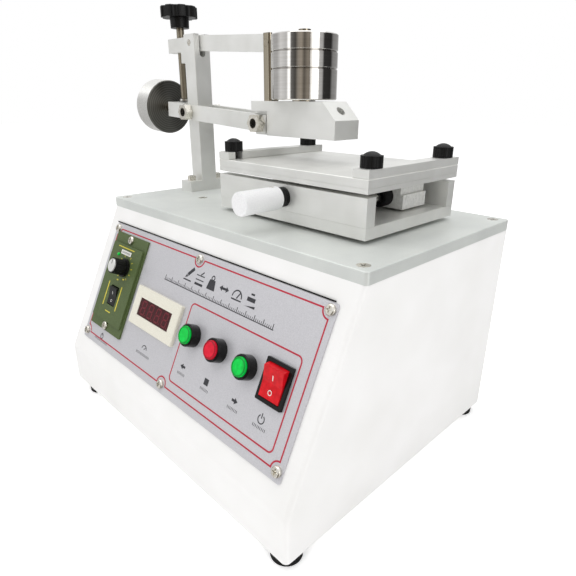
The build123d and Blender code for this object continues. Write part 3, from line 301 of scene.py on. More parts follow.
def faced_steel(centre, tilt, face_mm):
    """Counterweight faced on a lathe: its tool rings spread each reflection into rays from the middle. The face
    towards +X is coloured far darker than the rim of the same steel: painted shade.
    """
    made, tree, shader, here = start("faced_steel", Metallic=1.0, Roughness=0.34, Anisotropic=0.8)
    local = stretched(tree, here, (1, 1, 1), centre, (0, -tilt, 0))
    parts = node(tree, "ShaderNodeSeparateXYZ", {"Vector": local})
    ray = node(tree, "ShaderNodeCombineXYZ", {"Y": parts.outputs["Y"], "Z": parts.outputs["Z"]})
    away = node(tree, "ShaderNodeVectorMath", {0: ray.outputs[0]}, operation="NORMALIZE")
    tree.links.new(away.outputs[0], shader.inputs["Tangent"])
    rings = node(
        tree, "ShaderNodeTexWave", {"Vector": local},
        {"Scale": math.pi / (10 * 2.4 * MM), "Distortion": 0.5, "Detail": 2.0, "Detail Scale": 2.0},
        wave_type="RINGS", rings_direction="X",
    ).outputs["Fac"]
    # Painted shade: the +X face is masked off and given a much darker steel colour than the rim.
    face = spread(tree, parts.outputs["X"], 0, 1, (face_mm - 0.9) * MM, (face_mm - 0.6) * MM)
    rim = two_tone(tree, spread(tree, grain(tree, here, 1.5), 0, 1), "#D8D7D3", "#EDECE9")
    dark = two_tone(tree, rings, "#6B6A66", "#84837E")
    colour = node(tree, "ShaderNodeMix", {"Factor": face, COLOUR_A: rim, COLOUR_B: dark}, data_type="RGBA")
    tree.links.new(colour.outputs[COLOUR_OUT], shader.inputs["Base Color"])
    bump(tree, shader, rings, 0.01, 0.4)
    return made


def threaded_steel(axis, pitch_mm):
    """Zinc-plated threaded rod, one band for each turn: a relief, with bright crests as painted highlight and dark
    roots as painted shade.
    """
    made, tree, shader, here = start("threaded_rod_" + axis.lower(), Metallic=1.0, Roughness=0.32)
    thread_relief_and_shade = node(
        tree, "ShaderNodeTexWave", {"Vector": here}, {"Scale": math.pi / (10 * pitch_mm * MM)},
        wave_type="BANDS", bands_direction=axis, wave_profile="TRI",
    ).outputs["Fac"]
    # Painted highlight on the crests and painted shade in the roots, over the real relief below.
    tree.links.new(two_tone(tree, thread_relief_and_shade, "#857D6E", "#A89F8E"), shader.inputs["Base Color"])
    bump(tree, shader, thread_relief_and_shade, 0.12, 0.6)
    return made


def nickel_plate():
    """Nickel-plated small steel parts: bright, slightly warm, with handling marks."""
    made, tree, shader, here = start("nickel_plated_steel", Metallic=1.0, Roughness=0.2)
    marks = grain(tree, here, 2.0, 4.0)
    tint(tree, shader, marks, "#D3CEC2", "#E9E6DE")
    dull(tree, shader, marks, 0.2, 0.32)
    bump(tree, shader, marks, 0.003, 0.2)
    return made


def pivot_steel(step_z):
    """Pivot hardware: nickel on the nuts, and the link post's ground finish on the pin above a height."""
    made, tree, shader, here = start("pivot_steel", Metallic=1.0, Roughness=0.24)
    parts = node(tree, "ShaderNodeSeparateXYZ", {"Vector": here})
    upper = spread(tree, parts.outputs["Z"], 0, 1, step_z - 0.001, step_z + 0.001)
    marks = grain(tree, here, 2.0, 4.0)
    nickel = two_tone(tree, spread(tree, marks, 0, 1), "#D3CEC2", "#E9E6DE")
    ground = two_tone(tree, spread(tree, marks, 0, 1), "#A39A88", "#B5AC9B")
    colour = node(
        tree, "ShaderNodeMix", {"Factor": upper, COLOUR_A: nickel, COLOUR_B: ground}, data_type="RGBA"
    )
    tree.links.new(colour.outputs[COLOUR_OUT], shader.inputs["Base Color"])
    bump(tree, shader, marks, 0.003, 0.2)
    return made


def rubber():
    """Moulded natural rubber: dull black with a dusty bloom."""
    made, tree, shader, here = start("black_rubber", Roughness=0.8, IOR=1.52)
    dust = grain(tree, here, 3.0, 4.0)
    tint(tree, shader, dust, "#101010", "#1C1B1B")
    shader.inputs["Specular IOR Level"].default_value = 0.2
    bump(tree, shader, grain(tree, here, 0.8), 0.04, 0.5)
    return made


def moulded(name, dark, light, rough, size_mm=1.0, depth_mm=0.015, shine=0.25):
    """Injection-moulded plastic with a fine spark-eroded texture."""
    made, tree, shader, here = start(name, Roughness=rough, IOR=1.5)
    texture = grain(tree, here, size_mm, 2.0)
    tint(tree, shader, texture, dark, light)
    dull(tree, shader, grain(tree, here, 6), rough * 0.85, rough * 1.2)
    shader.inputs["Specular IOR Level"].default_value = shine
    bump(tree, shader, texture, depth_mm, 0.4)
    return made


def lens(name, dark, light, painted_glow=0.0):
    """Clear-lacquered acrylic button: saturated, with a fine matt grain on top and a weak emission that paints in
    light scattered inside it.
    """
    made, tree, shader, here = start(name, Roughness=0.3, IOR=1.49)
    shader.inputs["Specular IOR Level"].default_value = 0.15
    shader.inputs["Coat Weight"].default_value = 0.12
    shader.inputs["Coat Roughness"].default_value = 0.12
    cloud = grain(tree, here, 4.0, 2.0)
    tint(tree, shader, cloud, dark, light)
    # Painted light: a weak emission stands in for light scattered inside the acrylic.
    shader.inputs["Emission Color"].default_value = linear(light)
    shader.inputs["Emission Strength"].default_value = painted_glow
    bump(tree, shader, grain(tree, here, 0.8), 0.01, 0.3)
    return made


def ink(name, dark, light, rough=0.5):
    """Screen-printed ink: flat colour with small gaps in its cover."""
    made, tree, shader, here = start(name, Roughness=rough, IOR=1.5)
    cover = grain(tree, here, 1.2, 3.0)
    tint(tree, shader, cover, dark, light)
    bump(tree, shader, cover, 0.004, 0.3)
    return made


# ---------------------------------------------------------------- geometry helpers
def new_piece(name, mesh, material, body):
    """Link a finished mesh as a piece that rides on a body."""
    mesh.materials.clear()
    mesh.materials.append(material)
    piece = bpy.data.objects.new(name, mesh)
    bpy.context.scene.collection.objects.link(piece)
    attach(piece, body)
    return piece


def finish_mesh(name, bm):
    """Weld, face outwards and turn a bmesh into a mesh."""
    bmesh.ops.remove_doubles(bm, verts=bm.verts, dist=1e-7)
    bmesh.ops.recalc_face_normals(bm, faces=bm.faces)
    mesh = bpy.data.meshes.new(name)
    bm.to_mesh(mesh)
    bm.free()
    return mesh


def prism(bm, loop, place, low, high):
    """A closed solid over a flat outline; place(u, s, out) gives each corner in metres."""
    under = [bm.verts.new(place(u, s, low)) for u, s in loop]
    over = [bm.verts.new(place(u, s, high)) for u, s in loop]
    bm.faces.new(over)
    bm.faces.new(under[::-1])
    count = len(loop)
    for i in range(count):
        j = (i + 1) % count
        bm.faces.new((under[i], under[j], over[j], over[i]))


def join_rings(bm, rings):
    """Faces between rings of points, with the last ring joined to the first."""
    for near, far in zip(rings, rings[1:] + rings[:1]):
        for i in range(len(near)):
            j = (i + 1) % len(near)
            bm.faces.new((near[i], near[j], far[j], far[i]))


def band(bm, outer, inner, place, low, high):
    """A closed solid between two outlines with the same number of points."""
    join_rings(bm, [
        [bm.verts.new(place(u, s, level)) for u, s in loop]
        for loop, level in ((outer, low), (outer, high), (inner, high), (inner, low))
    ])


def arc(cu, cs, radius, begin, end, steps=10):
    """Points on an arc, angles in degrees."""
    return [
        (cu + radius * math.cos(math.radians(begin + (end - begin) * i / steps)),
         cs + radius * math.sin(math.radians(begin + (end - begin) * i / steps)))
        for i in range(steps + 1)
    ]


def box_loop(cu, cs, width, height):
    """A rectangle's corners."""
    w, h = width / 2, height / 2
    return [(cu - w, cs - h), (cu + w, cs - h), (cu + w, cs + h), (cu - w, cs + h)]


def rounded_loop(cu, cs, width, height, radius, steps=8):
    """A rectangle with round corners."""
    w, h = width / 2 - radius, height / 2 - radius
    loop = []
    for i, (a, b) in enumerate(((w, h), (-w, h), (-w, -h), (w, -h))):
        loop += arc(cu + a, cs + b, radius, 90 * i, 90 * i + 90, steps)
    return loop


def outline(bm, loop, width, place, low, high):
    """A printed line of a width that follows a closed outline."""
    count = len(loop)
    outer, inner = [], []
    for i, (u, s) in enumerate(loop):
        before, after = Vector(loop[i - 1]), Vector(loop[(i + 1) % count])
        here = Vector((u, s))
        d1, d2 = (here - before).normalized(), (after - here).normalized()
        n1, n2 = Vector((d1.y, -d1.x)), Vector((d2.y, -d2.x))
        mitre = (n1 + n2).normalized()
        reach = width / 2 / max(mitre.dot(n1), 0.5)
        outer.append(tuple(here + mitre * reach))
        inner.append(tuple(here - mitre * reach))
    band(bm, outer, inner, place, low, high)


def bar(bm, a, b, width, place, low, high):
    """A straight printed stroke between two points."""
    a, b = Vector(a), Vector(b)
    along = (b - a).normalized()
    side = Vector((-along.y, along.x)) * width / 2
    prism(bm, [tuple(a - side), tuple(b - side), tuple(b + side), tuple(a + side)], place, low, high)


def lathe(bm, profile, centre, axis, steps=48):
    """A closed turned solid; profile holds (distance along the axis, radius) in millimetres."""
    axis = Vector(axis).normalized()
    side = axis.orthogonal().normalized()
    other = axis.cross(side)
    rows = []
    for along, radius in profile:
        middle = Vector(centre) + axis * along * MM
        if radius == 0:
            rows.append([bm.verts.new(middle)])
            continue
        rows.append([
            bm.verts.new(middle + (side * math.cos(2 * math.pi * i / steps)
                                   + other * math.sin(2 * math.pi * i / steps)) * radius * MM)
            for i in range(steps)
        ])
    for low, high in zip(rows, rows[1:]):
        for i in range(steps):
            j = (i + 1) % steps
            ring = [low[i % len(low)], low[j % len(low)], high[j % len(high)], high[i % len(high)]]
            corners = list(dict.fromkeys(ring))
            if len(corners) > 2:
                bm.faces.new(corners)


def tube(bm, along_low, along_high, inner, outer, centre, axis, steps=48):
    """A closed ring with a square section, radii in millimetres."""
    axis = Vector(axis).normalized()
    side = axis.orthogonal().normalized()
    other = axis.cross(side)

    def place(a, b, out):
        return Vector(centre) + (side * a + other * b + axis * out) * MM

    last = 360 - 360 / steps
    band(bm, arc(0, 0, outer, 0, last, steps - 1), arc(0, 0, inner, 0, last, steps - 1),
         place, along_low, along_high)


# ---------------------------------------------------------------- repeated pieces by Geometry Nodes
def pattern_tree(name, sockets):
    """An empty Geometry Nodes tree with named number inputs."""
    tree = bpy.data.node_groups.new(name, "GeometryNodeTree")
    for label, kind, value in sockets:
        made = tree.interface.new_socket(label, in_out="INPUT", socket_type=kind)
        if value is not None:
            made.default_value = value
    tree.interface.new_socket("Geometry", in_out="OUTPUT", socket_type="NodeSocketGeometry")
    return tree


def close_tree(tree, given, put):
    """Make the instances real, give them their material and end the tree."""
    real = node(tree, "GeometryNodeRealizeInstances", {0: put.outputs[0]})
    paint = node(
        tree, "GeometryNodeSetMaterial", {"Geometry": real.outputs[0], "Material": given.outputs["Material"]}
    )
    node(tree, "NodeGroupOutput", {0: paint.outputs[0]})
    return tree


def row_tree():
    """Equal bars in a straight row along X, the first at the origin."""
    tree = pattern_tree("row_of_bars", [
        ("Count", "NodeSocketInt", 10), ("Pitch", "NodeSocketFloat", 0.002),
        ("Width", "NodeSocketFloat", 0.0005), ("Length", "NodeSocketFloat", 0.002),
        ("Height", "NodeSocketFloat", 0.0001), ("Material", "NodeSocketMaterial", None),
    ])
    given = node(tree, "NodeGroupInput")
    step = node(tree, "ShaderNodeCombineXYZ", {"X": given.outputs["Pitch"]})
    line = node(tree, "GeometryNodeMeshLine", {"Count": given.outputs["Count"], "Offset": step.outputs[0]})
    size = node(tree, "ShaderNodeCombineXYZ", {
        "X": given.outputs["Width"], "Y": given.outputs["Length"], "Z": given.outputs["Height"],
    })
    block = node(tree, "GeometryNodeMeshCube", {"Size": size.outputs[0]})
    put = node(tree, "GeometryNodeInstanceOnPoints", {
        "Points": line.outputs[0], "Instance": block.outputs[0],
    })
    return close_tree(tree, given, put)


def ring_tree():
    """Equal bars round a circle in the XY plane, each pointing at its centre."""
    tree = pattern_tree("ring_of_bars", [
        ("Count", "NodeSocketInt", 10), ("Radius", "NodeSocketFloat", 0.01),
        ("Width", "NodeSocketFloat", 0.0005), ("Length", "NodeSocketFloat", 0.002),
        ("Height", "NodeSocketFloat", 0.0001), ("Start", "NodeSocketFloat", 0.0),
        ("Step", "NodeSocketFloat", 0.1), ("Material", "NodeSocketMaterial", None),
    ])
    given = node(tree, "NodeGroupInput")
    line = node(tree, "GeometryNodeMeshLine", {"Count": given.outputs["Count"]}, {"Offset": (0, 0, 0)})
    index = node(tree, "GeometryNodeInputIndex")
    angle = node(tree, "ShaderNodeMath", {
        0: index.outputs[0], 1: given.outputs["Step"], 2: given.outputs["Start"],
    }, operation="MULTIPLY_ADD")
    cosine = node(tree, "ShaderNodeMath", {0: angle.outputs[0]}, operation="COSINE")
    sine = node(tree, "ShaderNodeMath", {0: angle.outputs[0]}, operation="SINE")
    out = node(tree, "ShaderNodeCombineXYZ", {"X": cosine.outputs[0], "Y": sine.outputs[0]})
    far = node(
        tree, "ShaderNodeVectorMath", {0: out.outputs[0], "Scale": given.outputs["Radius"]}, operation="SCALE"
    )
    spot = node(tree, "GeometryNodeSetPosition", {"Geometry": line.outputs[0], "Position": far.outputs[0]})
    size = node(tree, "ShaderNodeCombineXYZ", {
        "X": given.outputs["Length"], "Y": given.outputs["Width"], "Z": given.outputs["Height"],
    })
    block = node(tree, "GeometryNodeMeshCube", {"Size": size.outputs[0]})
    spin = node(tree, "ShaderNodeCombineXYZ", {"Z": angle.outputs[0]})
    put = node(tree, "GeometryNodeInstanceOnPoints", {
        "Points": spot.outputs[0], "Instance": block.outputs[0], "Rotation": spin.outputs[0],
    })
    return close_tree(tree, given, put)


def bake_pattern(name, tree, inputs, matrix, material, body):
    """Run a pattern tree, bake it to a plain mesh, put the mesh in place and ride it on a body."""
    holder = bpy.data.objects.new(name + "_maker", bpy.data.meshes.new(name + "_maker"))
    bpy.context.scene.collection.objects.link(holder)
    maker = holder.modifiers.new("pattern", "NODES")
    maker.node_group = tree
    inputs = dict(inputs, Material=material)
    for item in tree.interface.items_tree:
        if item.in_out == "INPUT" and item.name in inputs:
            maker[item.identifier] = inputs[item.name]
    depsgraph = bpy.context.evaluated_depsgraph_get()
    mesh = bpy.data.meshes.new_from_object(holder.evaluated_get(depsgraph))
    bpy.data.objects.remove(holder)
    mesh.transform(matrix)
    mesh.name = name
    return new_piece(name, mesh, material, body)


def frame_matrix(origin, x_axis, y_axis, z_axis):
    """A placing matrix from an origin and three axes."""
    made = Matrix((x_axis, y_axis, z_axis)).transposed().to_4x4()
    made.translation = origin
    return made


# ---------------------------------------------------------------- where things are
joint_place = {j["name"]: Vector(j["pos_m"]) for j in frame["joints"] if j.get("pos_m")}


def corners(node_name):
    """Lowest and highest corner of a CAD node as vectors."""
    low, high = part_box(node_name)
    return Vector(low), Vector(high)


shell_low, shell_high = corners("cabinet_shell")
plate_low, plate_high = corners("top_plate")
SLOPE_RISE, SLOPE_RUN = 140.0 * MM, 67.0 * MM
slope = math.atan2(SLOPE_RUN, SLOPE_RISE)
slope_up = Vector((0, math.sin(slope), math.cos(slope)))
slope_out = Vector((0, -math.cos(slope), math.sin(slope)))
fold = Vector(((plate_low.x + plate_high.x) / 2, shell_low.y, shell_high.z - SLOPE_RISE))


def on_slope(u, s, out):
    """A place on the sloping front in metres, from millimetres across, up the slope and out of it."""
    return fold + Vector((1, 0, 0)) * u * MM + slope_up * s * MM + slope_out * out * MM


def slope_frame(u, s, out):
    """A placing matrix on the sloping front."""
    return frame_matrix(on_slope(u, s, out), Vector((1, 0, 0)), slope_up, slope_out)


# Millimetres across (U) and up (S) the slope, and out of the cabinet's sheet.
PANEL = 1.2                      # panel's face
PRINT = (PANEL - 0.04, PANEL + 0.07)
FIGURES = (PANEL + 2.45, PANEL + 2.56)
COVER = 4.8                      # controller cover's face
COVER_PRINT = (COVER - 0.04, COVER + 0.07)
KNOB_TOP = 5.1 + 13.0            # speed knob's seat, and its height
SCREW_US = (-140.0, 3.0, 146.0)
SCREW_SS = (25.0, 134.3)
BUTTON_US = (25.0, 59.0, 93.0)
ROW = 75.0                       # height of the row of controls
METER_U, CONTROLLER_U, KNOB_U, KNOB_S = -32.9, -106.6, -100.8, 100.4
SWITCH_U = 122.0
DRIVE_FRAME = (74.1, 65.6, 126.2, 66.7, 4.0)    # middle across and up, width, height, corner radius
TITLE_U = 33.6
LABEL_US = {"left": 24.0, "stop": 56.0, "right": 90.5, "power": 119.5, "meter": -35.0, "controller": -110.0}
panel_low, panel_high = corners("control_panel")
SLOPE_TOP_EDGE = (panel_high - fold).dot(slope_up) / MM


# ---------------------------------------------------------------- printed panel
def panel_lines(red):
    """Red border with a bow round each screw, and the red frame round the drive controls."""
    (left, middle, right), (low, high) = SCREW_US, SCREW_SS
    bow, line_w = 6.4, 1.2
    loop = arc(left, low, bow, 90, 0)
    loop += arc(middle, low, bow, 180, 0, 20)
    loop += arc(right, low, bow, 180, 90)
    loop += arc(right, high, bow, 270, 180)
    loop += arc(middle, high, bow, 360, 180, 20)
    loop += arc(left, high, bow, 0, -90)
    bm = bmesh.new()
    outline(bm, loop, line_w, on_slope, *PRINT)
    outline(bm, rounded_loop(*DRIVE_FRAME), line_w, on_slope, *PRINT)
    new_piece("panel_red_lines", finish_mesh("panel_red_lines", bm), red, "base")


def arrow(bm, u, s, direction, size, place):
    """A block arrow that points right (1) or left (-1)."""
    tip, wing, shaft = size * direction, size * 0.7, size * 0.28
    tail = u - tip * 0.9
    loop = [(u + tip, s), (u, s + wing), (u, s + shaft), (tail, s + shaft),
            (tail, s - shaft), (u, s - shaft), (u, s - wing)]
    prism(bm, loop if direction > 0 else loop[::-1], place, *PRINT)


def ring_mark(bm, u, s, radius, width, place, begin=0, end=360):
    """A printed ring or arc."""
    if end - begin >= 360:
        inner = arc(u, s, radius, 0, 345, 23)
        grow = 1 + width / radius
        band(bm, [(u + (a - u) * grow, s + (b - s) * grow) for a, b in inner], inner, place, *PRINT)
        return
    steps = 16
    outer = arc(u, s, radius + width, begin, end, steps)
    prism(bm, outer + arc(u, s, radius, end, begin, steps), place, *PRINT)


def pencil_mark(bm, u, s, size, place):
    """A slanted pencil: its point and its barrel."""
    lean = math.radians(45)
    point, neck, shoulder, end, half = -0.55, -0.25, -0.19, 0.62, 0.13

    def turn(a, b):
        c, d = math.cos(lean), math.sin(lean)
        return (u + (a * c - b * d) * size, s + (a * d + b * c) * size)

    prism(bm, [turn(point, 0), turn(neck, -half), turn(neck, half)], place, *PRINT)
    prism(bm, [turn(shoulder, -half), turn(end, -half), turn(end, half), turn(shoulder, half)], place, *PRINT)


def title_marks(bm):
    """Plain pictures for what the tester does: pencil, film, weight, travel, gauge and sample."""
    line_s, line_half = 106.8, 71
    bar(bm, (TITLE_U - line_half, line_s), (TITLE_U + line_half, line_s), 0.7, on_slope, *PRINT)
    first, pitch, s, size, stroke, scale = 1.0, 13.5, 118.6, 9.6, 0.9, 1.2
    us = [first + i * pitch for i in range(6)]
    middle = (us[2] + us[3]) / 2
    ground = s - 4.4

    def larger(u, v, out):
        return on_slope(middle + (u - middle) * scale, s + 1.0 + (v - s) * scale, out)

    pencil, film, weight, travel, gauge, sample = us
    bar(bm, (pencil - 4.5, ground), (pencil + 4.5, ground), stroke, larger, *PRINT)
    pencil_mark(bm, pencil + 0.6, s + 0.6, size, larger)
    for i, layer_w in enumerate((1.6, 0.7, 0.7)):
        layer_s = s - 4.2 + 3.0 * i
        bar(bm, (film - 4.5, layer_s), (film + 4.5, layer_s), layer_w, larger, *PRINT)
    bar(bm, (film, s + 2.4), (film + 2.8, s + 4.8), stroke, larger, *PRINT)
    flask = [(weight - 4.4, ground), (weight + 4.4, ground), (weight + 3.0, s + 2.4), (weight - 3.0, s + 2.4)]
    prism(bm, flask, larger, *PRINT)
    ring_mark(bm, weight, s + 3.6, 1.1, 0.8, larger)
    arrow(bm, travel - 2.0, s, -1, 2.8, larger)
    arrow(bm, travel + 2.0, s, 1, 2.8, larger)
    ring_mark(bm, gauge, s - 1.8, 4.0, stroke, larger, 0, 180)
    bar(bm, (gauge, s - 2.4), (gauge + 2.4, s + 1.4), stroke, larger, *PRINT)
    bar(bm, (gauge - 4.8, s - 3.4), (gauge + 4.8, s - 3.4), stroke, larger, *PRINT)
    prism(bm, [(sample - 4.6, ground), (sample + 4.6, ground), (sample + 4.6, s - 2.8)], larger, *PRINT)
    bar(bm, (sample - 4.0, s + 0.4), (sample + 3.4, s + 0.4), 2.6, larger, *PRINT)
    bar(bm, (sample - 1.6, s + 3.8), (sample + 1.6, s + 3.8), 1.2, larger, *PRINT)


def painted_shadow_strip(dark):
    """A thin dark strip just above the panel's top edge, as painted shadow along that edge."""
    width = (panel_high.x - panel_low.x) / MM - 2.0
    height = 0.9
    bm = bmesh.new()
    prism(bm, box_loop(0.0, SLOPE_TOP_EDGE + height / 2, width, height), on_slope, 0.02, 1.0)
    new_piece("painted_shadow_strip", finish_mesh("painted_shadow_strip", bm), dark, "base")


def panel_symbols(black):
    """Dark pictures on the panel: none of them is lettering."""
    row_s, size = 48.6, 3.4
    power, meter, control = LABEL_US["power"], LABEL_US["meter"], LABEL_US["controller"]
    bm = bmesh.new()
    title_marks(bm)
    arrow(bm, LABEL_US["left"], row_s, -1, size, on_slope)
    prism(bm, box_loop(LABEL_US["stop"], row_s, 5.2, 5.2), on_slope, *PRINT)
    arrow(bm, LABEL_US["right"], row_s, 1, size, on_slope)
    ring_mark(bm, power, 48.2, 2.6, 0.8, on_slope, 120, 420)
    bar(bm, (power, 48.8), (power, 52.6), 0.8, on_slope, *PRINT)
    ring_mark(bm, meter, 41.2, 3.4, 0.8, on_slope, 10, 170)
    bar(bm, (meter, 41.2), (meter + 1.8, 43.6), 0.7, on_slope, *PRINT)
    ring_mark(bm, control, 28.2, 2.0, 0.8, on_slope)
    bar(bm, (control, 28.2), (control, 31.6), 0.7, on_slope, *PRINT)
    new_piece("panel_symbols", finish_mesh("panel_symbols", bm), black, "base")


def panel_scales(bars, black):
    """Fine graduated rows: two on the title's line and a short one below each control's picture."""
    inked = 0.62                 # share of each mark's width that takes ink
    # Name, middle across and up, count, pitch, width and length.
    rows = [
        ("title_fine", TITLE_U, 108.0, 71, 2.0, 0.8, 2.2),
        ("title_coarse", TITLE_U, 109.0, 15, 10.0, 1.1, 4.2),
    ]
    rows += [(label, LABEL_US[label], s, count, 1.5, 0.7, length) for label, s, count, length in (
        ("left", 42.4, 7, 2.2), ("stop", 42.4, 7, 2.2), ("right", 42.4, 8, 2.2), ("power", 42.4, 9, 2.2),
        ("meter", 36.8, 15, 2.2), ("controller", 23.6, 18, 1.9),
    )]
    for label, u, s, count, pitch, width, length in rows:
        start_u = u - (count - 1) * pitch / 2
        bake_pattern(
            "panel_scale_" + label, bars,
            {"Count": count, "Pitch": pitch * MM, "Width": width * MM * inked, "Length": length * MM,
             "Height": 0.1 * MM},
            slope_frame(start_u, s, PANEL + 0.01), black, "base",
        )


# ---------------------------------------------------------------- controls
def controller_marks(bars, rings, yellow, white, dark, led):
    """Stripes round the run switch, a scale round the speed knob, a label with a fine scale and a lamp."""
    bm = bmesh.new()
    for (u0, s0), (u1, s1), width in (
        ((-13.9, 58.0), (-13.9, 82.4), 1.5), ((11.6, 58.0), (11.6, 82.4), 1.5), ((-6, 54.2), (4, 54.2), 1.0),
        ((-2, 87.0), (1, 87.0), 1.2), ((8, 89.6), (11, 89.6), 1.2), ((-17, 118.6), (14, 118.6), 0.9),
    ):
        bar(bm, (CONTROLLER_U + u0, s0), (CONTROLLER_U + u1, s1), width, on_slope, *COVER_PRINT)
    new_piece(
        "controller_yellow_marks", finish_mesh("controller_yellow_marks", bm), yellow, "base"
    )
    label_s = 114.2
    bm = bmesh.new()
    prism(bm, rounded_loop(CONTROLLER_U + 0.6, label_s, 19.0, 4.2, 0.5, 3), on_slope,
          COVER - 0.05, COVER + 0.15)
    new_piece("controller_label", finish_mesh("controller_label", bm), white, "base")
    bake_pattern(
        "controller_label_scale", bars,
        {"Count": 9, "Pitch": 1.8 * MM, "Width": 0.6 * MM, "Length": 1.8 * MM, "Height": 0.1 * MM},
        slope_frame(CONTROLLER_U - 6.6, label_s, COVER + 0.17), dark, "base",
    )
    bake_pattern(
        "knob_scale", rings,
        {"Count": 11, "Radius": 12.2 * MM, "Width": 0.7 * MM, "Length": 2.2 * MM, "Height": 0.12 * MM,
         "Start": math.radians(-50), "Step": math.radians(28)},
        slope_frame(KNOB_U, KNOB_S, COVER + 0.02), yellow, "base",
    )
    bm = bmesh.new()
    lathe(bm, [(-0.5, 0), (-0.5, 1.6), (0.8, 1.6), (1.5, 1.1), (1.8, 0)],
          on_slope(CONTROLLER_U - 12.0, 110.5, COVER), slope_out, 20)
    new_piece("controller_lamp", finish_mesh("controller_lamp", bm), led, "base")


def speed_knob_cap(metal, dark):
    """Turned aluminium cap on the speed knob, with its pointer line."""
    bm = bmesh.new()
    lathe(bm, [(-0.6, 0), (-0.6, 6.5), (0.3, 6.5), (0.9, 5.9), (0.9, 0)],
          on_slope(KNOB_U, KNOB_S, KNOB_TOP), slope_out, 40)
    new_piece("speed_knob_cap", finish_mesh("speed_knob_cap", bm), metal, "speed_knob")
    bm = bmesh.new()
    bar(bm, (KNOB_U, KNOB_S + 1.5), (KNOB_U, KNOB_S + 5.6), 0.9, on_slope, KNOB_TOP + 0.85, KNOB_TOP + 0.98)
    new_piece(
        "speed_knob_pointer", finish_mesh("speed_knob_pointer", bm), dark, "speed_knob"
    )


def meter_digits(segments):
    """Four unlit seven-part figures in the meter's window, each with its point."""
    half_w, half_h, gap, bar_w, lean = 3.1, 6.0, 0.5, 1.5, 0.10
    bm = bmesh.new()
    for k in range(4):
        middle = METER_U - 18.0 + 12.0 * k

        def at(a, b):
            return (middle + a + lean * b, ROW + b)

        for b in (-half_h, 0, half_h):
            bar(bm, at(-half_w + gap, b), at(half_w - gap, b), bar_w, on_slope, *FIGURES)
        for a in (-half_w, half_w):
            for low, high in ((-half_h + gap, -gap), (gap, half_h - gap)):
                bar(bm, at(a, low), at(a, high), bar_w, on_slope, *FIGURES)
        prism(bm, arc(*at(half_w + 1.9, -half_h), 0.8, 0, 330, 11), on_slope, *FIGURES)
    new_piece("meter_figures", finish_mesh("meter_figures", bm), segments, "base")


def rocker_half(u, s, out, begin, end):
    """A placing function along one half of a rocker's face, and that half's length."""
    (x0, y0), (x1, y1) = begin, end
    length = math.hypot(x1 - x0, y1 - y0)
    cx, cy = (x1 - x0) / length, (y1 - y0) / length

    def place(a, b, rise):
        return on_slope(u + a, s + x0 + cx * b - cy * rise, out + y0 + cy * b + cx * rise)

    return place, length


def rocker_edges(reach, end_h, centre_h, lean):
    """Lower end, middle and upper end of a rocker's face about its pivot, at rest."""
    top = math.degrees(math.atan2(end_h, math.sqrt(reach ** 2 - end_h ** 2)))
    return [
        (radius * math.cos(math.radians(angle + lean)), radius * math.sin(math.radians(angle + lean)))
        for radius, angle in ((reach, 180 - top), (centre_h, 90), (reach, top))
    ]


def rocker_marks(white):
    """The stroke and the ring moulded on the mains rocker, and smaller ones on the run switch."""
    skin = (-0.03, 0.06)
    for body, u, s, out, profile, scale in (
        ("power_rocker", SWITCH_U, ROW, 0.6, (12.3, 5.4, 4.0, 10), 1.0),
        ("run_rocker", CONTROLLER_U, 70.6, 2.2, (9.3, 3.8, 3.0, 8), 0.7),
    ):
        low, middle, high = rocker_edges(*profile)
        bm = bmesh.new()
        place, length = rocker_half(u, s, out, low, middle)
        ring, hole = (arc(0, length * 0.45, radius * scale, 0, 345, 23) for radius in (1.9, 1.35))
        band(bm, ring, hole, place, *skin)
        place, length = rocker_half(u, s, out, middle, high)
        bar(bm, (0, length * 0.22), (0, length * 0.56), 0.6 * scale + 0.2, place, *skin)
        name = body + "_marks"
        new_piece(name, finish_mesh(name, bm), white, body)


def button_rims(dark):
    """A moulded step round each button cap."""
    bm = bmesh.new()
    for u in BUTTON_US:
        tube(bm, 8.9, 9.7, 7.75, 8.3, on_slope(u, ROW, 0), slope_out, 40)
    new_piece("button_rims", finish_mesh("button_rims", bm), dark, "base")


def cap_rings(green, red):
    """The raised edge round each button's face, in a darker copy of the cap's acrylic as painted shade."""
    # Distance out of the sheet, then radius.
    section = [(11.0, 5.7), (11.38, 5.9), (11.42, 6.5), (11.2, 7.0), (11.0, 7.05)]
    steps = 40
    turns = [2 * math.pi * i / steps for i in range(steps)]
    across = Vector((1, 0, 0))
    for u, body, colour, slot_name in (
        (BUTTON_US[0], "left_button", green, "green_button"),
        (BUTTON_US[1], "stop_button", red, "red_button"),
        (BUTTON_US[2], "right_button", green, "green_button"),
    ):
        middle = on_slope(u, ROW, 0)
        bm = bmesh.new()
        join_rings(bm, [
            [bm.verts.new(middle + (across * math.cos(turn) + slope_up * math.sin(turn)) * radius * MM
                          + slope_out * out * MM) for turn in turns]
            for out, radius in section
        ])
        name = body + "_ring"
        new_piece(name, finish_mesh(name, bm), colour, body)


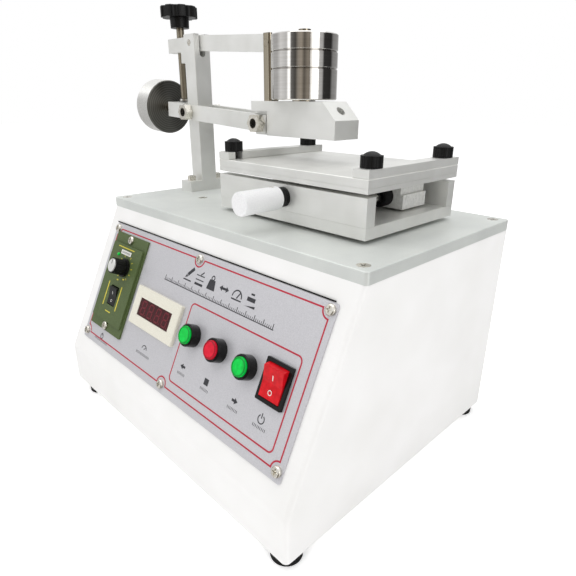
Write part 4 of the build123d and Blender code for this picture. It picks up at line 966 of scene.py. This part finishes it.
# ---------------------------------------------------------------- mechanism
def bearing_ends(dark, steel):
    """Black bearing noses with a lip round the rod, and the small screws under each block."""
    low, high = corners("bearing_blocks")
    rod_low, rod_high = corners("table_guide_rods")
    rod_z = (rod_low.z + rod_high.z) / 2
    half_block = 17.0 * MM
    # The back noses are short because the table's far limit brings them close to the slide's wall.
    front_reach, back_reach = 10.0, 2.2
    screw = [(-0.3, 0), (-0.3, 2.1), (0.9, 2.1), (1.2, 1.8), (1.2, 0)]
    noses = bmesh.new()
    screws = bmesh.new()
    for cx in (low.x + half_block, high.x - half_block):
        for y, sign, reach in ((low.y, -1, front_reach), (high.y, 1, back_reach)):
            for begin, end, inner, outer in (
                (-0.3, reach, 5.4, 7.8), (0.0, reach - 1.0, 4.3, 5.5), (reach - 2.2, reach - 1.2, 7.7, 8.15),
            ):
                tube(noses, begin, end, inner, outer, Vector((cx, y, rod_z)), (0, sign, 0), 40)
        for dx in (-13.4, 13.4):
            for y in (low.y + 6 * MM, low.y + 22 * MM):
                lathe(screws, screw, Vector((cx + dx * MM, y, low.z)), (0, 0, -1), 20)
    new_piece("bearing_noses", finish_mesh("bearing_noses", noses), dark, "table")
    new_piece("bearing_screws", finish_mesh("bearing_screws", screws), steel, "table")


def bolt_ends(dark):
    """Black discs at the ends of the pivot bolts, down inside their nuts: painted shade for the recesses there."""
    bolt = [(4.0, 0), (4.0, 3.9), (5.1, 3.9), (5.1, 0)]
    for name, joint, body, node_name in (
        ("column_bolt_ends", "lower_arm_pivot", "base", "column_pivots"),
        ("head_bolt_ends", "head_pivot", "head", "head_pivots"),
    ):
        low, high = corners(node_name)
        centre = joint_place[joint]
        bm = bmesh.new()
        for y, sign in ((low.y, 1), (high.y, -1)):
            lathe(bm, bolt, Vector((centre.x, y, centre.z)), (0, sign, 0), 28)
        new_piece(name, finish_mesh(name, bm), dark, body)


def stud_knurl(rings, steel):
    """Knurled grip on the end of the weight stud."""
    low, high = corners("weight_stud")
    centre = Vector(((low.x + high.x) / 2, (low.y + high.y) / 2, high.z - 1.7 * MM))
    teeth = 26
    bake_pattern(
        "stud_knurl", rings,
        {"Count": teeth, "Radius": 5.0 * MM, "Width": 0.62 * MM, "Length": 0.5 * MM, "Height": 2.6 * MM,
         "Start": 0.0, "Step": 2 * math.pi / teeth},
        Matrix.Translation(centre), steel, "head",
    )


def turned_knob(white, black, steel):
    """White turned hand knob with rounded rims, a black collar next to the slide and its grub screw."""
    low, high = corners("hand_knob")
    centre = Vector(((low.x + high.x) / 2, high.y, (low.z + high.z) / 2))
    radius = (high.x - low.x) / 2 / MM
    length = (high.y - low.y) / MM
    collar = 5.0
    bm = bmesh.new()
    lathe(bm, [(collar, 0), (collar, radius - 0.5), (collar + 0.5, radius), (length - 0.9, radius),
               (length - 0.3, radius - 0.3), (length, radius - 1.0), (length, radius - 1.6),
               (length - 0.25, radius - 1.9), (length - 0.25, 0)], centre, (0, -1, 0), 64)
    knob = new_piece(
        "turned_hand_knob", finish_mesh("turned_hand_knob", bm), white, "table_screw"
    )
    bm = bmesh.new()
    lathe(bm, [(0, 0), (0, 7.6), (0.4, 8.0), (collar, 8.0), (collar, 0)], centre, (0, -1, 0), 48)
    collar_piece = new_piece(
        "hand_knob_collar", finish_mesh("hand_knob_collar", bm), black, "table_screw"
    )
    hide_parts("hand_knob")
    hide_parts("hand_knob")
    place = centre + Vector((0, -(collar + 5.5) * MM, (radius - 0.6) * MM))
    bm = bmesh.new()
    tube(bm, -1.0, 0.62, 1.0, 2.0, place, (0, 0, 1), 24)
    lathe(bm, [(-1.0, 0), (-1.0, 1.05), (-0.6, 1.05), (-0.6, 0)], place, (0, 0, 1), 24)
    new_piece("hand_knob_screw", finish_mesh("hand_knob_screw", bm), steel, "table_screw")


def knob_gap_shadow_ring(dark):
    """A black ring round the table screw at the slide's front wall: painted shadow for the dark gap at the knob's
    end.
    """
    knob_low, knob_high = corners("hand_knob")
    base_low, base_high = corners("slide_base")
    gap = (base_low.y - knob_high.y) / MM
    centre = Vector(((knob_low.x + knob_high.x) / 2, base_low.y, (knob_low.z + knob_high.z) / 2))
    bm = bmesh.new()
    tube(bm, -3.0, max(gap - 0.4, 0.5), 4.6, 7.8, centre, (0, -1, 0), 40)
    new_piece("knob_gap_shadow_ring", finish_mesh("knob_gap_shadow_ring", bm), dark, "carriage")


# ---------------------------------------------------------------- the scene
make_camera()
make_world()
make_floor()
soft_box("key_light", (-0.8, -1.0, 2.0), (0.0, 0.0, 0.15), 1.4, 11)
soft_box("side_light", (1.8, -0.3, 0.6), (0.1, 0.0, 0.2), 1.0, 2.6)
soft_box("top_light", (0.1, 0.4, 2.0), (0.0, 0.0, 0.2), 1.6, 9)
bpy.context.scene.view_settings.view_transform = "Standard"

disc_low, disc_high = corners("counterweight")
disc_centre = (disc_low + disc_high) / 2
arm_tilt = math.radians(3.6)     # slope of the lower arms and of the counterweight's rod at rest
disc_half = 12.25                # half the counterweight's thickness, in millimetres

black_moulded = moulded("black_moulded_nylon", "#0A0A0A", "#131313", 0.38)
black_gloss = moulded("black_glossy_abs", "#0C0C0C", "#151515", 0.22)
bright_steel = turned_steel("polished_steel", "#D2CFCB", "#DDDBD8", 0.07, (0.05, 0.05, 1.0))
rod_steel = turned_steel("ground_rod_steel", "#D9D8D5", "#E8E7E4", 0.2, (1.0, 0.05, 1.0))
link_steel = turned_steel("ground_link_steel", "#A39A88", "#B5AC9B", 0.14, (1.0, 1.0, 0.03))
silver = milled()
satin = anodised()
finishes = {
    "powder_coat_white": powder_coat(),
    "plate_grey": blasted_plate(),
    "panel_silver": printed_sheet(),
    "anodised_aluminium": satin,
    "turned_aluminium": silver,
    "polished_steel": bright_steel,
    "zinc_steel": nickel_plate(),
    "black_rubber": rubber(),
    "black_plastic": black_moulded,
    "white_nylon": moulded("white_turned_nylon", "#E9E9EA", "#F2F2F2", 0.42),
    "olive_plastic": moulded("olive_painted_steel", "#4C5A33", "#586740", 0.42),
    "ivory_plastic": moulded("ivory_abs", "#DEDACB", "#E8E5D8", 0.35),
    "meter_glass": moulded("smoked_red_acrylic", "#38090F", "#450D14", 0.14, 5.0, 0.002),
    "green_button": lens("green_acrylic", "#00B23C", "#08D24E", 0.10),
    "red_button": lens("red_acrylic", "#C40F28", "#DA1B36", 0.10),
    "red_rocker": lens("red_clear_rocker", "#B80A16", "#D8131F", 0.08),
    "board_green": moulded("circuit_laminate", "#0E4A2A", "#16603A", 0.5),
    "motor_grey": moulded("motor_enamel", "#3A3C3F", "#484A4D", 0.4),
}
for entry in frame["record"]["subparts"]:
    finish = finishes[entry["material_slot"]]
    for slot in frame["nodes"][entry["node"]].material_slots:
        slot.material = finish

special = {
    "counterweight": faced_steel(disc_centre, arm_tilt, disc_half),
    "lift_screw": threaded_steel("Z", 1.25),
    "counterweight_rod": threaded_steel("X", 1.5),
    "table_guide_rods": rod_steel,
    "bearing_blocks": moulded("satin_chromed_block", "#CFCFCB", "#E0E0DD", 0.3, 2.0, 0.01, 0.5),
    "table_screw": rod_steel,
    "link_post": link_steel,
    "weight_stud": link_steel,
    "head_pivots": pivot_steel(0.3),
    "upper_arm": satin,
    "button_bezels": black_gloss,
    "power_switch_frame": black_gloss,
    "run_rocker": black_gloss,
}
for node_name, finish in special.items():
    for slot in frame["nodes"][node_name].material_slots:
        slot.material = finish

red_ink = ink("red_screen_ink", "#AE1730", "#BD2440")
black_ink = ink("black_screen_ink", "#222226", "#34343A")
yellow_ink = ink("yellow_screen_ink", "#C9B92E", "#E2D24A")
white_ink = ink("white_screen_ink", "#DCDAD4", "#F0EFEA")

bars = row_tree()
rings = ring_tree()
panel_lines(red_ink)
panel_symbols(black_ink)
panel_scales(bars, black_ink)
controller_marks(bars, rings, yellow_ink, white_ink, black_ink, finishes["green_button"])
speed_knob_cap(satin, black_ink)
meter_digits(moulded("unlit_segments", "#5E1620", "#6C1A26", 0.3))
rocker_marks(white_ink)
button_rims(black_gloss)
# The edge materials are darker copies of the button acrylic: painted shade.
cap_rings(lens("green_acrylic_edge", "#008A30", "#00A23A"), lens("red_acrylic_edge", "#9A0C20", "#B01228"))
# Painted shadow: a dark strip along the panel's top edge, in black rubber.
painted_shadow_strip(finishes["black_rubber"])
bearing_ends(finishes["black_rubber"], finishes["zinc_steel"])
# Black discs inside the pivot nuts: painted shade for the recesses.
bolt_ends(black_moulded)
stud_knurl(rings, link_steel)
turned_knob(finishes["white_nylon"], black_moulded, finishes["zinc_steel"])
# Painted shadow: a black ring in the gap between the hand knob and the slide.
knob_gap_shadow_ring(black_moulded)
